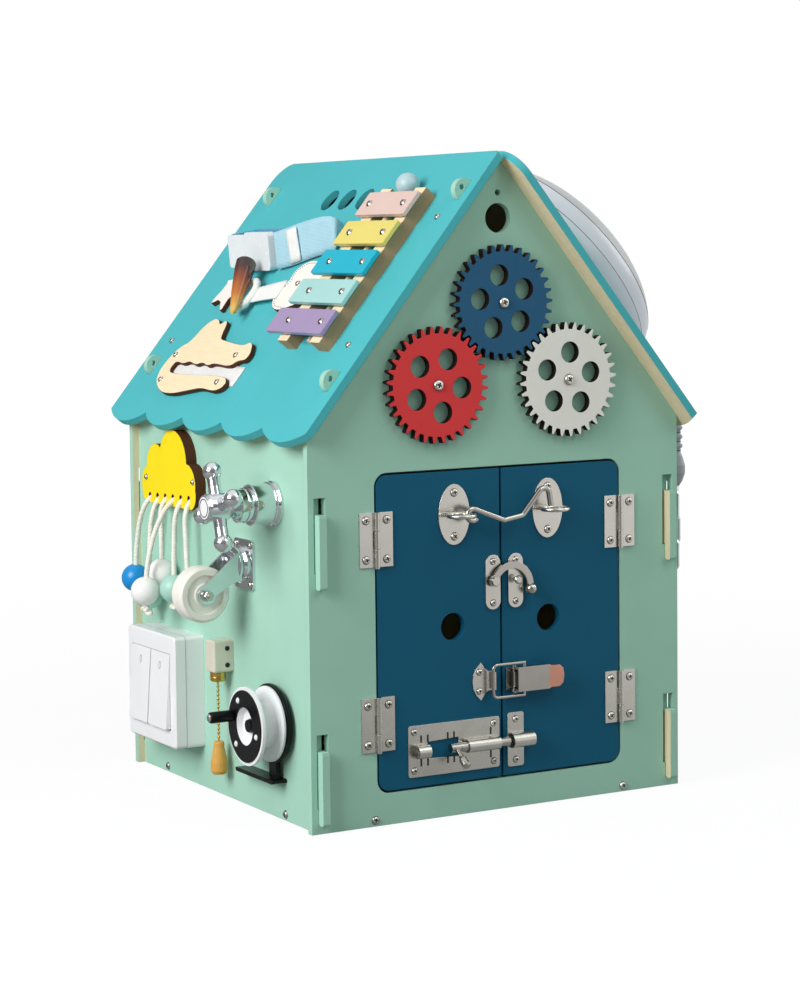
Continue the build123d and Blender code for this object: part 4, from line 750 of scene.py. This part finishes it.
SWITCH_U, SWITCH_Z, SWITCH_SEAM = -75, 74.5, 15.5
ROCKER_LEAN, ROCKER_U, ROCKER_PIVOT = math.radians(4), 17.65, 24
MARK_RISE, MARK_OUT, MARK_WIDE, MARK_TALL = 19, 3.0, 1.5, 2.9
rocker_out = Vector((-math.cos(ROCKER_LEAN), 0, math.sin(ROCKER_LEAN)))
rocker_rise = Vector((math.sin(ROCKER_LEAN), 0, math.cos(ROCKER_LEAN)))
mark_wide, mark_tall = Vector((0, MARK_WIDE, 0)), rocker_rise * MARK_TALL
for side, body in zip(SIDES, ("rocker_left", "rocker_right")):
    pivot = wall_point(SWITCH_U + side * ROCKER_U, SWITCH_Z, ROCKER_PIVOT)
    centre = pivot + rocker_rise * (MARK_RISE * MM) + rocker_out * (MARK_OUT * MM)
    oval = [centre + (mark_wide * math.cos(t) + mark_tall * math.sin(t)) * MM for t in turns(32)]
    wire(f"{body}_mark", body, oval, 0.3, grey_plastic, 6)
# A grey line of painted shade in the seam round the switch box
CORNER, CORNER_RADIUS = 40, 3.05
seam = []
for i, j, start in ((1, 1, 0), (-1, 1, 90), (-1, -1, 180), (1, -1, 270)):
    for turn in (math.radians(start + 15 * k) for k in range(7)):
        u = SWITCH_U + i * CORNER + CORNER_RADIUS * math.cos(turn)
        z = SWITCH_Z + j * CORNER + CORNER_RADIUS * math.sin(turn)
        seam.append(wall_point(u, z, SWITCH_SEAM))
wire("switch_seam", "house", seam, 0.22, grey_plastic, 6)

PULL_Y, PULL_FACE_Y = -12.5, -20.02
# Dark discs of painted shade inside the two holes on the pull switch
HOLE = [(1.9, 0), (1.9, 0.25), (1.3, 0.25), (1.2, 0.05), (0.01, 0.05)]
for number, z in enumerate((102.5, 115)):
    hole_place = stand_mm(Vector((-WALL - 5.5, PULL_FACE_Y, z)) * MM, OUT_FRONT)
    mesh_object(f"pull_hole_{number + 1}", *turned_mesh(HOLE, hole_place, 20), dark)
hoop("pull_bead", "house", Vector((-WALL - 10, PULL_Y, 93.2)) * MM, up, 5.75, 0.5, brass)

# ---------------------------------------------------------------- lamp and wall grip
LAMP_DOWN, LAMP_Y = 146, -18
LAMP_RADIUS, LAMP_FOOT, LAMP_TOP, CAP_EDGE = 99.6, 5.9, 81, 52.76
lamp_centre = right_top + DOWN_RIGHT * LAMP_DOWN + Vector((0, LAMP_Y, 0))


def lamp_ring(name, height, radius, thick, material):
    """A thin line of painted shade round the lamp, at a height above the roof."""
    hoop(name, "dome", (lamp_centre + right_normal * height) * MM, right_normal, radius, thick, material, 96)


# Near black painted shade in the seam where the lamp's side meets its dome
lamp_ring("lamp_seam", 38.3, 99.0, 0.6, dark)
crown = [(LAMP_RADIUS, 38), (94.05, CAP_EDGE), (79.11, 65.72), (54.78, 75.33), (27.89, 79.79), (0.01, LAMP_TOP)]
crown = smooth_line([Vector((radius, 0, rise)) for radius, rise in crown])
skin = [(97, LAMP_FOOT), (LAMP_RADIUS, LAMP_FOOT)] + [(max(p.x, 0.01), min(p.z, LAMP_TOP)) for p in crown]
points, faces = turned_mesh(skin, stand_mm(lamp_centre * MM, right_normal), 96)
lows = [min((points[k] / MM - lamp_centre).dot(right_normal) for k in face) for face in faces]
# Faces above the cap's edge take the cap's darker grey of painted shade
lamp_skin = mesh_object("lamp_skin", points, faces, [lamp_band, lamp_cap_painted_shade], "dome", True,
                        [int(low > CAP_EDGE - 0.26) for low in lows])
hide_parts("lamp_dome")
# A near black line of painted shade at the cap's edge, and a grey line of painted shade in the low seam
lamp_ring("cap_line", CAP_EDGE, 93.73, 0.5, dark)
lamp_ring("lamp_line", 15, 99.25, 0.35, grey_plastic)

GRIP_X, GRIP_Y, RIB_FIRST, RIB_PITCH = 177.5, -122, GRIP_BOTTOM + 27.5, 7
# Thin rings of painted shade in the grooves along the wall grip's ribs
for rib in range(4):
    spot = Vector((GRIP_X, GRIP_Y, RIB_FIRST + RIB_PITCH * rib)) * MM
    hoop(f"grip_line_{rib + 1}", "house", spot, up, 4.75, 0.35, dark)

# ---------------------------------------------------------------- bead cords
CORD, BEAD_RADIUS, BORE, BEAD_HALF = 4, 11, 2.3, 10.1
HOLES = [(-106.5 + 14.2 * k, 219.5 + 0.55 * k) for k in range(6)]
BEADS = [
    (-129.6, 152, 12.6, bead_blue), (-104, 141, 12.6, bead_mint), (-78.2, 161.7, 12.6, bead_white),
    (-70.1, 149.7, 31, bead_white), (-57, 151.6, 12.6, bead_mint), (-32, 152, 12.6, bead_white),
]
bulge = [math.radians(-74 + 148 * k / 24) for k in range(25)]
BEAD = [(BORE, -BEAD_HALF), *[(BEAD_RADIUS * math.cos(t), BEAD_RADIUS * math.sin(t)) for t in bulge],
        (BORE, BEAD_HALF), (2.1, 0), (BORE, -BEAD_HALF)]
KNOT = [Vector(((math.sin(t) + 2 * math.sin(2 * t)) * 0.8, (math.cos(t) - 2 * math.cos(2 * t)) * 0.8, -math.sin(3 * t)))
        for t in turns(60)]


def hanging_line(name, route):
    """A cord's curve through a route on the left wall, and its length."""
    line = bpy.data.curves.new(name, "CURVE")
    line.dimensions = "3D"
    line.resolution_u = 16
    line.use_fill_caps = True
    spline = line.splines.new("NURBS")
    spline.points.add(len(route) - 1)
    for point, spot in zip(spline.points, route):
        point.co = (*wall_point(*spot), 1)
    spline.order_u = 3
    spline.use_endpoint_u = True
    probe = bpy.data.objects.new("probe", line)
    run = bpy.data.meshes.new_from_object(probe)
    bpy.data.objects.remove(probe)
    length = sum((run.vertices[a].co - run.vertices[b].co).length for a, b in (e.vertices for e in run.edges))
    line.bevel_depth = CORD / 2 * MM
    line.bevel_resolution = 4
    line.materials.append(cord_white)
    return line, length


for number, ((hole_u, hole_z), (u, z, off, material)) in enumerate(zip(HOLES, BEADS), 1):
    bead_place = Matrix.Translation(wall_point(u, z, off)) @ Matrix.Scale(MM, 4)
    bead = mesh_object(f"bead_{number}", *turned_mesh(BEAD, bead_place), material)
    knot_line = [wall_point(u, z - 13.9, off) + point * MM for point in KNOT]
    knot = wire(f"knot_{number}", "house", knot_line, 1.35, cord_white, 10)
    route = [(hole_u, hole_z, 1), (hole_u, hole_z, 13.5), (u, z + 24, off), (u, z - 14.8, off)]
    line, length = hanging_line(f"cord_{number}", route)
    cord = add_object(f"cord_{number}", line)
    if number == 1:
        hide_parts("bead_cords")
        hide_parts("beads")

# ---------------------------------------------------------------- strap, horn toggle and animal board
# Lines and outlines here are (distance down the slope, v) or (distance down the slope, v, height), in mm
STRAP_LOW = [
    (111.5, -46, 3), (108, -30, 2.2), (101, -8, 2), (94, 18, 2), (92, 25, 2.2), (93.5, 17, 1.1),
    (94, 2, 1), (94, -60, 1), (94, -118, 1), (98, -127, 2.2), (107, -127, 4), (112, -121, 4.5),
]
STRAP_HIGH = [
    (91.5, -46, 23), (87, -33, 22), (80.5, -13, 21.5), (74.5, 12, 20.5), (72.5, 22, 16), (71, 17, 5),
    (70, 2, 1), (70, -60, 1), (70, -118, 1), (74, -128, 5), (84, -129, 14), (91.5, -121, 22),
]
# The strap's outer side is the light webbing and its inner side the darker blue of painted shade
strap, strap_length = ribbon("strap_band", STRAP_LOW, STRAP_HIGH, 1.4, webbing, webbing_painted_shade)
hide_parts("strap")
ribbon("strap_patch", [(107.4, -26.4, 4.2), (103.6, -14.5, 4.1)], [(89.5, -29.6, 22.4), (85.3, -17.8, 22.2)],
       0.5, cloth, cloth, 4)

FORK = [(123, -116), (129, -112), (149, -119), (143, -105), (157, -90), (139, -92), (138, -76), (123, -78)]
MITTEN = [(104, 14), (104, 3), (108, -6), (115, -12), (124, -10), (133, -16), (140, -18), (150, -8), (152, 8),
          (137, 47), (112, 47)]
fork_board = board("fork_board", rounded(FORK, 1), 0.2, 4.2, cream)
board("mitten_board", rounded(MITTEN), 0.2, 4.2, cream)
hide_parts("toggle_boards")
STITCH = [(106.5, 13), (106.8, 4), (110, -3.5), (116, -9), (124, -7.3), (132.5, -13), (139, -14.5), (147, -6.5),
          (148.8, 7)]
stitch = smooth_line([slope_point(u, v, 4.25) for u, v in STITCH])
points, faces = [], []
for k in range(0, len(stitch) - 1, 2):
    more, rings = tube([stitch[k], stitch[k].lerp(stitch[k + 1], 0.9)], 0.28 * MM, 6)
    faces += [tuple(i + len(points) for i in ring) for ring in rings]
    points += more
mesh_object("mitten_stitch", points, faces, burnt)

loop_line = []
for turn in turns(48):
    across = math.cos(turn)
    across = math.copysign(abs(across) ** 0.6, across) if abs(across) > 1e-6 else 0
    loop_line.append(slope_point(141 + 13.6 * across, -57 + 7.8 * math.sin(turn), 7.2 + 0.5 * math.sin(3 * turn)))
soft_loop = wire("soft_loop", "house", loop_line, 2.9, felt, 14)
band, band_length = ribbon("loop_band", [(141, -11, 5), (143.5, -28, 5.6), (146, -46, 5.4)],
                           [(124, -11, 5), (128, -29, 5.6), (132, -48, 5.4)], 1.3, cloth, cloth)

ANIMAL = [
    (223, -119), (231, -106), (235, -92), (235, -73), (231, -52), (227, -32), (229, -9), (226, 1), (220, 4),
    (214, -6), (217, -100), (212, -107), (205, -105), (207, -90), (204, -82), (207, -67), (204, -59), (207, -46),
    (204, -39), (206, -10), (200, -2), (199, 8), (193, 10), (184, 3), (182, -3), (186, -11), (182, -51), (180, -57),
    (166, -63), (163, -68), (168, -74), (163, -81), (162, -89), (169, -99), (186, -105), (190, -114), (199, -121),
    (212, -124),
]
animal_board = board("animal_face", rounded(ANIMAL), 1.0, 4.5, birch)
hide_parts("animal_board")
STRIP = [(-108, 0.5), (-80, 0.62), (-50, 0.55), (-20, 0.62), (8, 0.5)]
strip, strip_length = ribbon("cloth_strip", [(220.5, v, height) for v, height in STRIP],
                             [(202.5, v, height) for v, height in STRIP], 0.6, cloth, cloth)

# ---------------------------------------------------------------- studio
# A white surround, plainer light on matt faces, and a studio that is darker on its left for bright metal
WORLD, ROOM_DARK, ROOM_LIGHT = 0.27, 0.1, 0.95
world = bpy.data.worlds.new("studio")
bpy.context.scene.world = world
world.use_nodes = True
tree = world.node_tree
background = tree.nodes["Background"]
background.inputs["Color"].default_value = (1, 1, 1, 1)
path = tree.nodes.new("ShaderNodeLightPath")
parts = tree.nodes.new("ShaderNodeSeparateXYZ")
tree.links.new(tree.nodes.new("ShaderNodeTexCoord").outputs["Generated"], parts.inputs[0])
room = math_node(tree, "MAXIMUM", span_node(tree, parts.outputs["X"], ROOM_DARK, ROOM_LIGHT, -0.1, 0.6),
                 span_node(tree, parts.outputs["Z"], ROOM_DARK, 1.0, 0.45, 0.85))
seen = math_node(tree, "MAXIMUM", path.outputs["Is Camera Ray"], path.outputs["Is Transmission Ray"])
strength = math_node(tree, "MAXIMUM", seen, math_node(tree, "MULTIPLY", path.outputs["Is Glossy Ray"], room))
tree.links.new(math_node(tree, "MAXIMUM", strength, WORLD), background.inputs["Strength"])

# A floor that takes soft shadows, fades into the white surround, and is mirrored more towards the right
FLOOR_REACH, FLOOR_GREY, FLOOR_SHARE = 40, 0.35, 0.72
floor_mesh = bpy.data.meshes.new("floor")
floor_corners = [(i * FLOOR_REACH, j * FLOOR_REACH, 0) for i, j in ((-1, -1), (1, -1), (1, 1), (-1, 1))]
floor_mesh.from_pydata(floor_corners, [], [(0, 1, 2, 3)])
floor = bpy.data.objects.new("floor", floor_mesh)
bpy.context.scene.collection.objects.link(floor)
floor_finish = bpy.data.materials.new("floor")
floor_finish.use_nodes = True
tree = floor_finish.node_tree
tree.nodes.remove(tree.nodes["Principled BSDF"])
matt = tree.nodes.new("ShaderNodeBsdfDiffuse")
matt.inputs["Color"].default_value = (FLOOR_GREY, FLOOR_GREY, FLOOR_GREY, 1)
glow = tree.nodes.new("ShaderNodeEmission")
glow.inputs["Color"].default_value = (1, 1, 1, 1)
path = tree.nodes.new("ShaderNodeLightPath")
both = tree.nodes.new("ShaderNodeMixShader")
parts = tree.nodes.new("ShaderNodeSeparateXYZ")
spot = tree.nodes.new("ShaderNodeNewGeometry").outputs["Position"]
tree.links.new(spot, parts.inputs[0])
away = tree.nodes.new("ShaderNodeVectorMath")
away.operation = "LENGTH"
tree.links.new(spot, away.inputs[0])
tree.links.new(span_node(tree, away.outputs["Value"], 1.265, 1.4, 0.4, 2.5), glow.inputs["Strength"])
mirrored = math_node(tree, "MULTIPLY", path.outputs["Is Glossy Ray"],
                     span_node(tree, parts.outputs["X"], 0, 0.66, -0.1, 0.8))
plain = math_node(tree, "MULTIPLY", path.outputs["Is Camera Ray"], FLOOR_SHARE)
tree.links.new(math_node(tree, "MAXIMUM", plain, mirrored), both.inputs["Fac"])
tree.links.new(matt.outputs[0], both.inputs[1])
tree.links.new(glow.outputs[0], both.inputs[2])
tree.links.new(both.outputs[0], tree.nodes["Material Output"].inputs["Surface"])
floor_mesh.materials.append(floor_finish)


def lamp(name, spot, target, size, power, tone=(1, 1, 1)):
    """A square area light of a power in W that looks at a target."""
    light = bpy.data.lights.new(name, "AREA")
    light.shape = "RECTANGLE"
    light.size = light.size_y = size
    light.energy = power
    light.color = tone
    made = bpy.data.objects.new(name, light)
    bpy.context.scene.collection.objects.link(made)
    made.location = spot
    made.rotation_euler = (Vector(target) - Vector(spot)).to_track_quat("-Z", "Y").to_euler()


lamp("key", (-1.9, -0.5, 1.15), (0, 0, 0.22), 1.2, 42)
lamp("fill", (0.35, -1.0, 1.2), (0, -0.15, 0.4), 0.8, 3.9, (0.82, 1, 0.96))
lamp("rim", (1.7, -0.3, 1.1), (0.1, 0, 0.35), 0.9, 8)

scene = bpy.context.scene
scene.view_settings.view_transform = "Standard"
